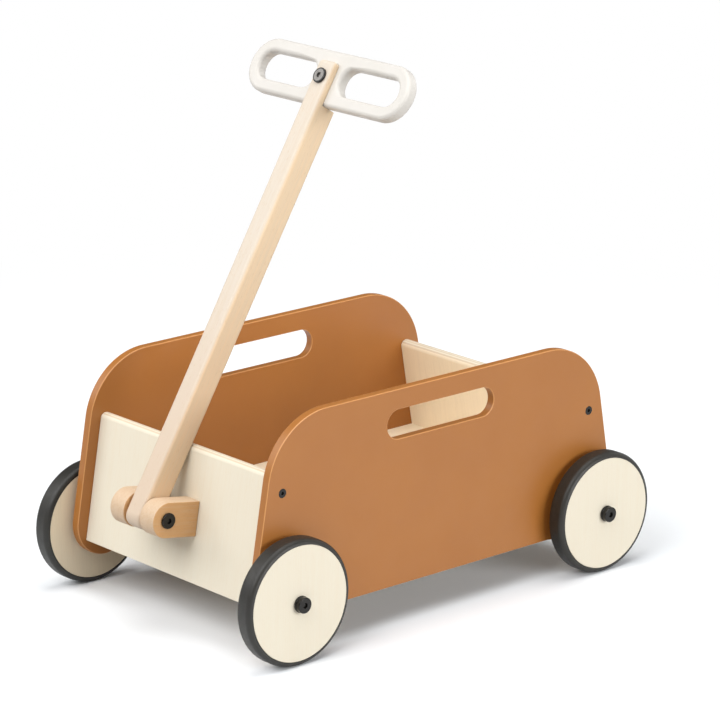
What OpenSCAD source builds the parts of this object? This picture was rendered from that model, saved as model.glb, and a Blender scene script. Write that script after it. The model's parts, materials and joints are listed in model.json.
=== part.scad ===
// Wooden pull-along wagon: a box between two painted side panels, on four
// rubber-tyred wheels, with a T-handle that swings on two beech brackets.
// Millimetres, +Z up, the handle at the front (-Y), +X to the right of someone
// who faces that front, and the floor under the tyres at Z = 0.

/* [Wheels] */
// Outer radius of a tyre, which is also the height of the axles
tyre_r = 60; // [50:1:80]
// Thickness of the rubber outside the wooden disc
tyre_t = 5; // [3:0.5:8]
// Rounding of the tyre's shoulders
tyre_round = 5.5; // [1:0.5:8]
// Depth of the rib that holds the tyre in the disc's groove
rib_depth = 3; // [1:0.5:6]
// Width of that rib
rib_w = 8; // [4:0.5:12]
// Width of a wheel
wheel_w = 19.5; // [15:0.5:30]
// Gap between a side panel and its wheels
wheel_gap = 5.6; // [3:0.1:12]
// Wall of the bush in a wheel
bush_wall = 2; // [1:0.25:4]

/* [Side panels] */
// Thickness of a side panel
side_t = 9; // [6:0.5:15]
// Length of a side panel along its bottom edge, measured to the sloped edges
side_len = 462.4; // [400:1:600]
// Height of a side panel from its bottom edge
side_h = 190; // [180:1:240]
// Drop of the bottom edge below the axles
side_drop = 22; // [18:1:26]
// Slope of the front and rear edges from the upright
slope = 9.9; // [4:0.1:14]
// Radius of the top corners
top_corner_r = 70; // [30:1:90]
// Radius of the round lobe at each axle
lobe_r = 33; // [30:1:40]
// Height of the lobe's centre above the axle
lobe_rise = 5; // [0:0.5:10]
// Run from the axle to where the bottom edge is level again
lobe_run = 53; // [48:1:80]
// Length of the hand slot
slot_len = 133; // [90:1:180]
// Height of the hand slot
slot_h = 28; // [20:1:40]
// Depth of the slot's centre line below the top edge
slot_down = 33.7; // [25:0.5:50]

/* [Box] */
// Width of the box between the side panels
box_w = 253.7; // [200:1:320]
// Thickness of the front and rear panels
end_t = 12; // [9:0.5:18]
// Height of the front and rear panels, along their slope
end_h = 125.2; // [110:0.1:150]
// Drop of their bottom edge below the axles
end_drop = 9.2; // [4:0.2:16]
// Inset of their outer face from the side panels' edge
end_inset = 12; // [6:0.2:20]
// Rounding of their top edges
end_round = 5.5; // [1:0.25:6]
// Thickness of the floor panel
floor_t = 12; // [9:0.5:15]
// Height of the floor's top above the axles
floor_rise = 22; // [20:0.5:30]
// Drop of the axle beams' underside below the axles
beam_drop = 14; // [10:0.5:18]
// Reach of an axle beam from the axle towards the middle
beam_in = 13; // [10:0.5:30]

/* [Handle] */
// Distance of the pivot from the front panel's outer face
pivot_out = 36; // [24:0.1:45]
// Distance of the pivot from the front panel's bottom edge, along its slope
pivot_up = 60.6; // [45:0.1:75]
// Radius of a bracket's nose
bracket_r = 17; // [13:0.5:22]
// Width of a bracket
bracket_w = 20; // [12:0.5:26]
// Width of the handle bar
bar_w = 22; // [18:0.5:30]
// Depth of the handle bar
bar_d = 26; // [20:0.5:32]
// Distance of the pivot behind the bar's middle
bar_set = 1.5; // [0:0.25:3]
// Rounding of the bar's long edges
bar_round = 4; // [1:0.25:6]
// Length of the bar below the pivot
tail_len = 16; // [12:0.5:20]
// Rounding of the bar's lower end
tail_round = 11; // [4:0.5:12]
// Length of the bar from the pivot to the notch for the grip
bar_len = 408; // [300:0.5:500]
// Thickness of the bar's tongue in front of the grip
tongue_t = 7.5; // [5:0.5:12]
// Length of that tongue
tongue_len = 42; // [40:0.5:52]
// Rounding of the tongue's top corners
tongue_round = 4; // [1:0.5:8]
// Gap between the bar and each bracket
bar_play = 1; // [0.6:0.1:3]

/* [Grip] */
// Width of the grip
grip_w = 221; // [160:1:260]
// Height of the grip
grip_h = 54; // [50:0.5:70]
// Thickness of the grip
grip_t = 13.5; // [10:0.5:20]
// Width of the rail round each loop
grip_rail = 13; // [8:0.5:16]
// Width of the web between the loops
grip_web = 36; // [26:0.5:60]
// Drop of the grip's bolt below the grip's middle
grip_bolt_drop = 1.5; // [0:0.25:4]

/* [Fasteners] */
// Radius of the shoulder that a wheel runs on
axle_r = 4; // [3.5:0.25:6]
// Radius of the bolts' threads
thread_r = 3; // [2:0.25:3]
// Length of an axle bolt's thread
thread_len = 30; // [24:1:40]
// Radius of the bolts' heads
head_r = 7.5; // [6:0.25:9]
// Height of an axle bolt's head
axle_head_h = 4.3; // [3.5:0.1:6]
// Height of a flat head
flat_head_h = 2.4; // [2:0.1:4]
// Bevel of the heads' rims
head_bevel = 0.6; // [0.2:0.1:1]
// Width across the flats of the hex sockets
socket_af = 5; // [3:0.5:6]
// Depth of the hex sockets
socket_depth = 1.7; // [1:0.1:1.8]
// Thickness of the washer under an axle bolt's head
washer_t = 2.3; // [1:0.1:4]
// Radius of that washer
washer_r = 7.9; // [7:0.1:12]
// Radius of the wheel spacers
spacer_r = 9; // [7:0.5:12]
// Radius of the threaded inserts
insert_r = 5; // [4:0.25:6]
// Length of the threaded inserts
insert_len = 20; // [12:1:24]
// Radius of the sleeve nuts
sleeve_r = 4; // [3.5:0.25:5]
// Length of a flat-headed bolt in its sleeve nut
sleeve_bolt_len = 18; // [12:1:20]
// Radius of the washers beside the bar
pivot_washer_r = 9; // [6:0.5:13]
// Radius of a screw's head
screw_head_r = 4.5; // [4:0.1:6]
// Height of a screw's countersunk head
screw_head_h = 2.6; // [2:0.1:4]
// Radius of a screw's shank
screw_r = 2; // [1.5:0.1:2.5]
// Width across the flats of a screw's socket
screw_socket_af = 3; // [2:0.25:3]
// Depth of a screw's socket
screw_socket_depth = 1.4; // [1:0.1:2]
// Length of the screws through the side panels
panel_screw_len = 42; // [30:1:60]
// Drop of those screws below the end panels' top edge
panel_screw_down = 15.5; // [12:0.5:26]
// Length of the screws into the brackets
bracket_screw_len = 34; // [26:1:38]
// Distance between the two screws in a bracket
bracket_screw_gap = 18; // [14:0.5:22]
// Length of the screws from the beams into the floor
floor_screw_len = 30; // [26:1:33]
// Distance between the two screws in a beam
floor_screw_gap = 160; // [80:1:180]
// Radius of the dowels
dowel_r = 3; // [2:0.25:3.5]
// Depth of a dowel in a side panel
dowel_side = 5; // [3:0.5:5.5]
// Depth of a dowel in a panel's edge
dowel_edge = 22; // [12:1:30]
// Height of the lower dowel in an end panel
dowel_low = 30; // [24:1:40]
// Height of the upper dowel in an end panel
dowel_high = 76; // [60:1:85]
// Distance between the dowels along the floor's edge
floor_dowel_gap = 120; // [60:1:150]

/* [Fits] */
// Radial clearance where a part turns on another
run_gap = 0.08; // [0.03:0.01:0.1]
// Clearance between parts that are fixed together
fix_gap = 0.05; // [0.02:0.01:0.1]
// Clearance between a tyre and its disc
tyre_gap = 0.15; // [0.1:0.05:0.4]
// Clearance beside a turning part
side_gap = 0.3; // [0.2:0.05:0.5]
// Clearance between the leaning bar and the front panel
rest_gap = 0.25; // [0.2:0.05:0.5]

/* [Hidden] */
$fn = 64;
right = 1;
left = -1;
front = -1;
rear = 1;
sides = [left, right];
ends = [front, rear];
paint = [0.71, 0.46, 0.25];
birch = [0.93, 0.88, 0.78];
beech = [0.86, 0.70, 0.52];
ash = [0.93, 0.87, 0.76];
rubber = [0.20, 0.19, 0.18];
black = [0.17, 0.16, 0.15];
steel = [0.60, 0.58, 0.56];
ivory = [0.96, 0.95, 0.92];
nylon = [0.85, 0.85, 0.82];

// Heights above the floor
axle_z = tyre_r;
side_z = axle_z - side_drop;
side_top = side_z + side_h;
slot_z = side_top - slot_down;
lobe_z = axle_z + lobe_rise;
end_z = axle_z - end_drop;
floor_top = axle_z + floor_rise;
floor_z = floor_top - floor_t;
floor_mid = floor_top - floor_t / 2;
beam_z = axle_z - beam_drop;

// Distances from the middle of the wheelbase, along the wagon
function edge_y(z) = side_len / 2 - (z - side_z) * tan(slope);
function outer_y(z) = edge_y(z) - end_inset;
function inner_y(z) = outer_y(z) - end_t / cos(slope);
axle_y = edge_y(lobe_z) - lobe_r / cos(slope);
corner_z = side_top - top_corner_r;
corner_y = edge_y(corner_z) - top_corner_r / cos(slope);
slope_out = [cos(slope), sin(slope)];
slope_up = [-sin(slope), cos(slope)];

// Fillets, limited by the wall that they round
least_flat = 0.5;
end_fillet = min(end_round, (end_t - least_flat) / 2);
tail_fillet = min(tail_round, (bar_d - least_flat) / 2, tail_len);
shoulder = min(tyre_round, (wheel_w - least_flat) / 2);

// A point of an end panel: out along its normal, up along its slope
end_origin = [outer_y(end_z), end_z];
function end_point(out, up) = end_origin + out * slope_out + up * slope_up;
pivot = end_point(pivot_out, pivot_up);

// The bar leans back until it meets the rounded top of the front panel
stop = end_point(-end_fillet, end_h - end_fillet);
stop_dy = pivot.x - stop.x;
stop_dz = stop.y - pivot.y;
stop_reach = norm([stop_dy, stop_dz]);
bar_back = bar_d / 2 - bar_set;
bar_front = bar_back - bar_d;
lean = atan2(stop_dy, stop_dz) - asin((bar_back + end_fillet + rest_gap) / stop_reach);

// Distances from the middle plane, across the wagon
side_in = box_w / 2;
side_out = side_in + side_t;
wheel_x = side_out + wheel_gap;
wheel_out = wheel_x + wheel_w;
wheel_mid = wheel_x + wheel_w / 2;
head_x = wheel_out + side_gap + washer_t;
bracket_x = bar_w / 2 + bar_play;
bracket_out = bracket_x + bracket_w;
bracket_mid = bracket_x + bracket_w / 2;

// Wheels
tyre_in = tyre_r - tyre_t;
disc_r = tyre_in - tyre_gap;
rib_r = disc_r - rib_depth;
groove_r = rib_r - tyre_gap;
bush_in = axle_r + run_gap;
bush_r = bush_in + bush_wall;

// Grip
tongue_back = bar_front + tongue_t;
grip_front = tongue_back + fix_gap;
grip_back = grip_front + grip_t;
grip_low = bar_len + fix_gap;
grip_mid = grip_low + grip_h / 2;
loop_r = grip_h / 2 - grip_rail;
loop_in = grip_web / 2 + loop_r;
loop_out = grip_w / 2 - grip_rail - loop_r;

// The origin is under the middle of the whole wagon
front_reach = max(pivot.x + bracket_r, axle_y + tyre_r);
rear_reach = axle_y + tyre_r;
middle = (front_reach - rear_reach) / 2;
cut = 1;

// Places

// From the middle of the wheelbase to the part's own origin
module on_wagon() {
    translate([0, middle, 0]) children();
}

// A side view, Y to the right and Z up, drawn out along +X from x
module side_view(x, thick) {
    translate([x, 0, 0]) rotate([90, 0, 90]) linear_extrude(thick) children();
}

// The right half's shape, on either side
module on_side(side) {
    mirror([side == left ? 1 : 0, 0, 0]) children();
}

// The rear half's shape, at either end
module on_end(end) {
    mirror([0, end == front ? 1 : 0, 0]) children();
}

// An axle's line at one corner, with +Z outwards from the middle plane
module on_axle(side, end) {
    on_side(side) on_end(end) translate([0, axle_y, axle_z]) rotate([0, 90, 0]) children();
}

// A line across the wagon through a point of an end panel, with +Z outwards
module across(side, end, point) {
    on_side(side) on_end(end) translate([0, point.x, point.y]) rotate([0, 90, 0]) children();
}

// A line along an end panel's normal, with +Z outwards from its outer face
module along_normal(end, x, up) {
    point = end_point(0, up);
    on_end(end) translate([x, point.x, point.y]) rotate([slope - 90, 0, 0]) children();
}

// The handle's own frame: origin at the pivot, +Z up the bar, -Y its front
module on_handle() {
    translate([0, -pivot.x, pivot.y]) rotate([-lean, 0, 0]) children();
}

// Shapes that repeat

module tube(r_out, r_in, z, h) {
    translate([0, 0, z]) difference() {
        cylinder(r = r_out, h = h);
        translate([0, 0, -cut]) cylinder(r = r_in, h = h + 2 * cut);
    }
}

// A bar of the given height from z
module rod(r, z, h) {
    translate([0, 0, z]) cylinder(r = r, h = h);
}

module hex(af, z, h) {
    translate([0, 0, z]) cylinder(r = af / sqrt(3), h = h, $fn = 6);
}

// A bolt head that stands on z and points along +Z, with a bevelled rim
module head(z, h) {
    difference() {
        union() {
            rod(head_r, z, h - head_bevel);
            translate([0, 0, z + h - head_bevel])
                cylinder(r1 = head_r, r2 = head_r - head_bevel, h = head_bevel);
        }
        hex(socket_af, z + h - socket_depth, socket_depth + cut);
    }
}

// A countersunk screw that hangs from the plane z = 0
module screw(length) {
    difference() {
        union() {
            translate([0, 0, -screw_head_h])
                cylinder(r1 = screw_r, r2 = screw_head_r, h = screw_head_h);
            rod(screw_r, screw_r - length, length - screw_r - screw_head_h / 2);
            translate([0, 0, -length]) cylinder(r1 = screw_r / 4, r2 = screw_r, h = screw_r);
        }
        hex(screw_socket_af, -screw_socket_depth, screw_socket_depth + cut);
    }
}

// The hole that such a screw needs
module screw_hole(length) {
    grown = screw_head_r + fix_gap;
    translate([0, 0, -screw_head_h - fix_gap])
        cylinder(r1 = screw_r + fix_gap, r2 = grown, h = screw_head_h + fix_gap);
    rod(screw_r + fix_gap, -length - fix_gap, length);
    rod(grown, 0, cut);
}

module slot_shape(length, height) {
    run = (length - height) / 2;
    square([2 * run, height], center = true);
    for (s = sides) translate([s * run, 0]) circle(height / 2);
}

// Side panels

// The end of the ramp and where it touches the lobe
ramp_end = [axle_y - lobe_run, side_z];
ramp_line = ramp_end - [axle_y, lobe_z];
ramp_turn = atan2(ramp_line.y, ramp_line.x) + acos(lobe_r / norm(ramp_line));
ramp_touch = [axle_y, lobe_z] + lobe_r * [cos(ramp_turn), sin(ramp_turn)];

module side_half() {
    polygon([
        [0, side_z],
        ramp_end,
        ramp_touch,
        [axle_y, lobe_z],
        [axle_y, lobe_z] + lobe_r * slope_out,
        [corner_y, corner_z] + top_corner_r * slope_out,
        [corner_y, corner_z],
        [corner_y, side_top],
        [0, side_top]
    ]);
    translate([axle_y, lobe_z]) circle(lobe_r, $fn = 96);
    translate([corner_y, corner_z]) circle(top_corner_r, $fn = 128);
}

module side_outline() {
    difference() {
        union() {
            side_half();
            mirror([1, 0]) side_half();
        }
        translate([0, slot_z]) slot_shape(slot_len, slot_h);
    }
}

// Dowels along a floor edge
function floor_dowel_ys() = [-floor_dowel_gap, 0, floor_dowel_gap];

module side_panel(side) {
    color(paint) on_wagon() on_side(side) difference() {
        side_view(side_in, side_t) side_outline();
        for (end = ends) {
            on_axle(right, end) rod(thread_r + 2 * fix_gap, side_in - cut, side_t + 2 * cut);
            across(right, end, panel_screw_point) translate([0, 0, side_out]) screw_hole(panel_screw_len);
            for (point = dowel_points)
                across(right, end, point) rod(dowel_r + fix_gap, side_in - cut, dowel_side + fix_gap + cut);
        }
        for (y = floor_dowel_ys())
            translate([0, y, floor_mid]) rotate([0, 90, 0])
                rod(dowel_r + fix_gap, side_in - cut, dowel_side + fix_gap + cut);
    }
}

// Front and rear panels

// Lines in the middle of an end panel's thickness
panel_screw_point = end_point(-end_t / 2, end_h - panel_screw_down);
dowel_points = [end_point(-end_t / 2, dowel_low), end_point(-end_t / 2, dowel_high)];
bracket_screw_ups = [pivot_up - bracket_screw_gap / 2, pivot_up + bracket_screw_gap / 2];

module end_outline() {
    translate(end_origin) rotate(slope) {
        translate([-end_t, 0]) square([end_t, end_h - end_fillet]);
        translate([end_fillet - end_t, 0]) square([end_t - 2 * end_fillet, end_h]);
        for (out = [-end_fillet, end_fillet - end_t])
            translate([out, end_h - end_fillet]) circle(end_fillet);
    }
}

module end_board(end) {
    width = box_w - 2 * fix_gap;
    difference() {
        on_end(end) side_view(-width / 2, width) end_outline();
        for (side = sides) {
            across(side, end, panel_screw_point) translate([0, 0, side_out]) screw_hole(panel_screw_len);
            for (point = dowel_points)
                across(side, end, point)
                    rod(dowel_r + fix_gap, side_in - dowel_edge - fix_gap, dowel_edge + cut);
        }
    }
}

module front_panel() {
    color(birch) on_wagon() difference() {
        end_board(front);
        for (side = sides, up = bracket_screw_ups)
            along_normal(front, side * bracket_mid, up) translate([0, 0, -end_t]) mirror([0, 0, 1])
                screw_hole(bracket_screw_len);
    }
}

module rear_panel() {
    color(birch) on_wagon() end_board(rear);
}

// Floor and axle beams

module floor_panel() {
    width = box_w - 2 * fix_gap;
    color(birch) on_wagon() difference() {
        side_view(-width / 2, width) polygon([
            [-inner_y(floor_z) + fix_gap, floor_z],
            [inner_y(floor_z) - fix_gap, floor_z],
            [inner_y(floor_top) - fix_gap, floor_top],
            [-inner_y(floor_top) + fix_gap, floor_top]
        ]);
        for (side = sides, y = floor_dowel_ys())
            on_side(side) translate([0, y, floor_mid]) rotate([0, 90, 0])
                rod(dowel_r + fix_gap, side_in - dowel_edge - fix_gap, dowel_edge + cut);
        floor_screw_lines() screw_hole(floor_screw_len);
    }
}

// Screws that hang upside down from the beams' undersides
module floor_screw_lines() {
    for (end = ends, side = sides)
        translate([side * floor_screw_gap / 2, end * axle_y, beam_z]) mirror([0, 0, 1]) children();
}

module axle_beam(end) {
    width = box_w - 2 * fix_gap;
    top = floor_z - fix_gap;
    color(beech) on_wagon() difference() {
        on_end(end) side_view(-width / 2, width) polygon([
            [axle_y - beam_in, beam_z],
            [inner_y(beam_z) - fix_gap, beam_z],
            [inner_y(top) - fix_gap, top],
            [axle_y - beam_in, top]
        ]);
        for (side = sides)
            on_axle(side, end) {
                rod(insert_r + fix_gap, side_in - insert_len - fix_gap, insert_len + cut);
                rod(thread_r + fix_gap, side_out - thread_len - fix_gap, thread_len);
            }
        floor_screw_lines() screw_hole(floor_screw_len);
    }
}

// Fasteners of the box

module panel_screws() {
    color(black) on_wagon() for (side = sides, end = ends)
        across(side, end, panel_screw_point) translate([0, 0, side_out]) screw(panel_screw_len);
}

module panel_dowels() {
    color(beech) on_wagon() for (side = sides, end = ends, point = dowel_points)
        across(side, end, point) rod(dowel_r, side_in - dowel_edge, dowel_edge + dowel_side);
}

module floor_dowels() {
    color(beech) on_wagon() for (side = sides, y = floor_dowel_ys())
        on_side(side) translate([0, y, floor_mid]) rotate([0, 90, 0])
            rod(dowel_r, side_in - dowel_edge, dowel_edge + dowel_side);
}

module floor_screws() {
    color(steel) on_wagon() floor_screw_lines() screw(floor_screw_len);
}

// Axles and wheels

module axle_inserts() {
    color(steel) on_wagon() for (side = sides, end = ends)
        on_axle(side, end) tube(insert_r, thread_r + fix_gap, side_in - fix_gap - insert_len, insert_len);
}

module axle_bolts() {
    color(black) on_wagon() for (side = sides, end = ends)
        on_axle(side, end) {
            rod(thread_r, side_out - thread_len, thread_len);
            rod(axle_r, side_out, head_x - side_out);
            head(head_x, axle_head_h);
        }
}

module axle_washers() {
    color(black) on_wagon() for (side = sides, end = ends)
        on_axle(side, end) tube(washer_r, axle_r + fix_gap, wheel_out + side_gap, washer_t);
}

module wheel_spacers() {
    color(black) on_wagon() for (side = sides, end = ends)
        on_axle(side, end) tube(spacer_r, axle_r + fix_gap, side_out, wheel_gap - side_gap);
}

module wheel_disc(side, end) {
    color(birch) on_wagon() on_axle(side, end) difference() {
        tube(disc_r, bush_r + fix_gap, wheel_x, wheel_w);
        tube(tyre_in, groove_r, wheel_mid - rib_w / 2 - tyre_gap, rib_w + 2 * tyre_gap);
    }
}

// A tyre's band outside the disc, with its outer shoulders rounded
module tyre_band() {
    intersection() {
        translate([tyre_in, 0]) square([tyre_t, wheel_w]);
        union() {
            square([tyre_r - shoulder, wheel_w]);
            translate([0, shoulder]) square([tyre_r, wheel_w - 2 * shoulder]);
            for (z = [shoulder, wheel_w - shoulder]) translate([tyre_r - shoulder, z]) circle(shoulder);
        }
    }
}

module tyre(side, end) {
    color(rubber) on_wagon() on_axle(side, end) translate([0, 0, wheel_x]) rotate_extrude($fn = 128) {
        tyre_band();
        translate([rib_r, (wheel_w - rib_w) / 2]) square([tyre_in - rib_r + tyre_t / 2, rib_w]);
    }
}

module wheel_bush(side, end) {
    color(nylon) on_wagon() on_axle(side, end) tube(bush_r, bush_in, wheel_x, wheel_w);
}

// Handle pivot

module bracket(side) {
    color(beech) on_wagon() difference() {
        on_side(side) on_end(front) side_view(bracket_x, bracket_w) translate(end_origin) rotate(slope) {
            translate([fix_gap, pivot_up - bracket_r]) square([pivot_out - fix_gap, 2 * bracket_r]);
            translate([pivot_out, pivot_up]) circle(bracket_r, $fn = 96);
        }
        across(side, front, pivot) rod(sleeve_r + fix_gap, bracket_x - cut, bracket_w + 2 * cut);
        for (up = bracket_screw_ups)
            along_normal(front, side * bracket_mid, up) translate([0, 0, -end_t]) mirror([0, 0, 1])
                screw_hole(bracket_screw_len);
    }
}

module bracket_screws() {
    color(steel) on_wagon() for (side = sides, up = bracket_screw_ups)
        along_normal(front, side * bracket_mid, up) translate([0, 0, -end_t]) mirror([0, 0, 1])
            screw(bracket_screw_len);
}

// A flat-headed bolt whose head stands on z, with its shank below
module flat_bolt(z) {
    head(z, flat_head_h);
    rod(thread_r, z - sleeve_bolt_len, sleeve_bolt_len + flat_head_h - socket_depth - fix_gap);
}

// A sleeve nut whose head stands on z, with its bored sleeve below
module sleeve_nut(z, length) {
    bore = sleeve_bolt_len + 2 * fix_gap;
    head(z, flat_head_h);
    difference() {
        rod(sleeve_r, z - length, length);
        rod(thread_r + fix_gap, z - length - cut, bore + cut);
    }
}

module pivot_bolt() {
    color(black) on_wagon() across(right, front, pivot) flat_bolt(bracket_out + fix_gap);
}

module pivot_sleeve_nut() {
    color(black) on_wagon() across(left, front, pivot)
        sleeve_nut(bracket_out + fix_gap, 2 * bracket_out + fix_gap);
}

module pivot_washers() {
    color(nylon) on_wagon() for (side = sides)
        across(side, front, pivot)
            tube(pivot_washer_r, sleeve_r + fix_gap, bar_w / 2 + side_gap, bar_play - side_gap);
}

// Handle

module bar_side_view() {
    side_view(-bar_w / 2, bar_w) {
        translate([bar_front, tail_fillet - tail_len]) square([bar_d, bar_len + tail_len - tail_fillet]);
        translate([bar_front + tail_fillet, -tail_len]) square([bar_d - 2 * tail_fillet, bar_len]);
        for (y = [bar_front + tail_fillet, bar_back - tail_fillet])
            translate([y, tail_fillet - tail_len]) circle(tail_fillet);
        translate([bar_front, 0]) square([tongue_t, bar_len + tongue_len]);
    }
}

// The bar from the front, with the tongue's top corners rounded
module bar_front_view() {
    top = bar_len + tongue_len;
    rotate([90, 0, 0]) linear_extrude(2 * bar_d, center = true) {
        translate([-bar_w / 2, -tail_len]) square([bar_w, top + tail_len - tongue_round]);
        translate([tongue_round - bar_w / 2, -tail_len]) square([bar_w - 2 * tongue_round, top + tail_len]);
        for (s = sides) translate([s * (bar_w / 2 - tongue_round), top - tongue_round]) circle(tongue_round);
    }
}

module bar_section() {
    translate([0, -bar_set, -tail_len]) linear_extrude(tail_len + bar_len + tongue_len) {
        square([bar_w, bar_d - 2 * bar_round], center = true);
        square([bar_w - 2 * bar_round, bar_d], center = true);
        for (sx = sides, sy = sides)
            translate([sx * (bar_w / 2 - bar_round), sy * (bar_d / 2 - bar_round)]) circle(bar_round);
    }
}

module handle_bar() {
    color(ash) on_wagon() on_handle() difference() {
        intersection() {
            bar_side_view();
            bar_front_view();
            bar_section();
        }
        rotate([0, 90, 0]) rod(sleeve_r + run_gap, -bar_w, 2 * bar_w);
        grip_line() rod(sleeve_r + fix_gap, -bar_d, 2 * bar_d);
    }
}

// The line of the grip's bolt, with +Z out of the bar's front
module grip_line() {
    translate([0, 0, grip_mid - grip_bolt_drop]) rotate([90, 0, 0]) children();
}

module grip() {
    color(ivory) on_wagon() on_handle() grip_line() difference() {
        translate([0, grip_bolt_drop, -grip_back]) linear_extrude(grip_t) difference() {
            slot_shape(grip_w, grip_h);
            for (s = sides) translate([s * (loop_in + loop_out) / 2, 0])
                slot_shape(loop_out - loop_in + 2 * loop_r, 2 * loop_r);
        }
        rod(sleeve_r + fix_gap, -bar_d, 2 * bar_d);
    }
}

module grip_bolt() {
    color(black) on_wagon() on_handle() grip_line() flat_bolt(fix_gap - bar_front);
}

module grip_sleeve_nut() {
    color(black) on_wagon() on_handle() grip_line() mirror([0, 0, 1])
        sleeve_nut(grip_back + fix_gap, grip_back - bar_front + fix_gap);
}

side_panel(right);  // side_panel_right
side_panel(left);  // side_panel_left
front_panel();
rear_panel();
floor_panel();
axle_beam(front);  // front_axle_beam
axle_beam(rear);  // rear_axle_beam
panel_screws();
panel_dowels();
floor_dowels();
floor_screws();
axle_inserts();
axle_bolts();
axle_washers();
wheel_spacers();
wheel_disc(right, front);  // wheel_disc_front_right
wheel_disc(left, front);  // wheel_disc_front_left
wheel_disc(right, rear);  // wheel_disc_rear_right
wheel_disc(left, rear);  // wheel_disc_rear_left
tyre(right, front);  // tyre_front_right
tyre(left, front);  // tyre_front_left
tyre(right, rear);  // tyre_rear_right
tyre(left, rear);  // tyre_rear_left
wheel_bush(right, front);  // wheel_bush_front_right
wheel_bush(left, front);  // wheel_bush_front_left
wheel_bush(right, rear);  // wheel_bush_rear_right
wheel_bush(left, rear);  // wheel_bush_rear_left
bracket(right);  // bracket_right
bracket(left);  // bracket_left
bracket_screws();
pivot_bolt();
pivot_sleeve_nut();
pivot_washers();
handle_bar();
grip();
grip_bolt();
grip_sleeve_nut();
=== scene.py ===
"""Dresses the wooden pull-along wagon: painted sides, plywood ends, rubber-tyred wheels and a T-handle."""

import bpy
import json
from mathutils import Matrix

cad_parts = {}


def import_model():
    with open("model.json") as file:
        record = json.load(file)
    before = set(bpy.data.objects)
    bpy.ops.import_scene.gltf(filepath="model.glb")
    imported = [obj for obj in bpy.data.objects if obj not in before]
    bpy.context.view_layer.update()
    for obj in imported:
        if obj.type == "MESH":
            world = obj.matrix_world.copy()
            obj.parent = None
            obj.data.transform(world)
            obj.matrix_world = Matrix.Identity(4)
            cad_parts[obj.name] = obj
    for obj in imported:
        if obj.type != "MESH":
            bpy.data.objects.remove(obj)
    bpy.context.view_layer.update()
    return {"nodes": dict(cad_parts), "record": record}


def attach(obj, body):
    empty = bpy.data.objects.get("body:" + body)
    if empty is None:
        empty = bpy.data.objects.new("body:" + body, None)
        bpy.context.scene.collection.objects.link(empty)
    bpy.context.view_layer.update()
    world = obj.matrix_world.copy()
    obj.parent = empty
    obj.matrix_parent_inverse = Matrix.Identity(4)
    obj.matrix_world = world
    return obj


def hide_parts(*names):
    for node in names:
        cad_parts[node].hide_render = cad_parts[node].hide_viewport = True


frame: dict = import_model()

import json
import logging
import math
from collections.abc import Callable, Iterator
from contextlib import contextmanager
from dataclasses import dataclass
from enum import Enum
from functools import cached_property

import bmesh
import bpy
from mathutils import Matrix, Vector

Pair = tuple[float, float]
Triple = tuple[float, float, float]
Node = bpy.types.ShaderNode
Socket = bpy.types.NodeSocket
Piece = bpy.types.Object

log = logging.getLogger("wagon")
MM = 0.001
MERGE = 0.01 * MM
NEAR = 0.1
CUT = 1.0
FULL_TURN = 2 * math.pi
SHARP = math.radians(40)
FACE_WEIGHT = 80
ROUND_HOLE = 48
HEX_HOLE = 6
ORIGIN: Triple = (0.0, 0.0, 0.0)
X_WAY: Triple = (1.0, 0.0, 0.0)
Y_WAY: Triple = (0.0, 1.0, 0.0)
Z_WAY: Triple = (0.0, 0.0, 1.0)
UNMIRRORED: Triple = (1.0, 1.0, 1.0)
MIRROR_X: Triple = (-1.0, 1.0, 1.0)
MIRROR_Y: Triple = (1.0, -1.0, 1.0)
NOISE_RANGE: Pair = (0.3, 0.7)
MIX_COLOURS = (6, 7)
MIX_RESULT = 2
RIGHT = 1
LEFT = -1
FRONT = -1
REAR = 1
SIDES = (RIGHT, LEFT)
ENDS = (FRONT, REAR)
SIDE_NAMES = {RIGHT: "right", LEFT: "left"}
END_NAMES = {FRONT: "front", REAR: "rear"}


class Body(Enum):
    """The bodies that pieces ride on, apart from the wheels' own."""

    CHASSIS = "chassis"
    HANDLE = "handle"


class Slot(Enum):
    """The record's material slots."""

    PAINT = "painted_wood"
    PLYWOOD = "birch_plywood"
    BEECH = "beech"
    BAR = "handle_wood"
    RUBBER = "tyre_rubber"
    BLACK_STEEL = "black_steel"
    PLATED_STEEL = "plated_steel"
    BLACK_PLASTIC = "black_plastic"
    NYLON = "nylon"
    IVORY = "ivory_grip"


class Axis(Enum):
    """A pattern's own axes."""

    X = 0
    Y = 1
    Z = 2


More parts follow.
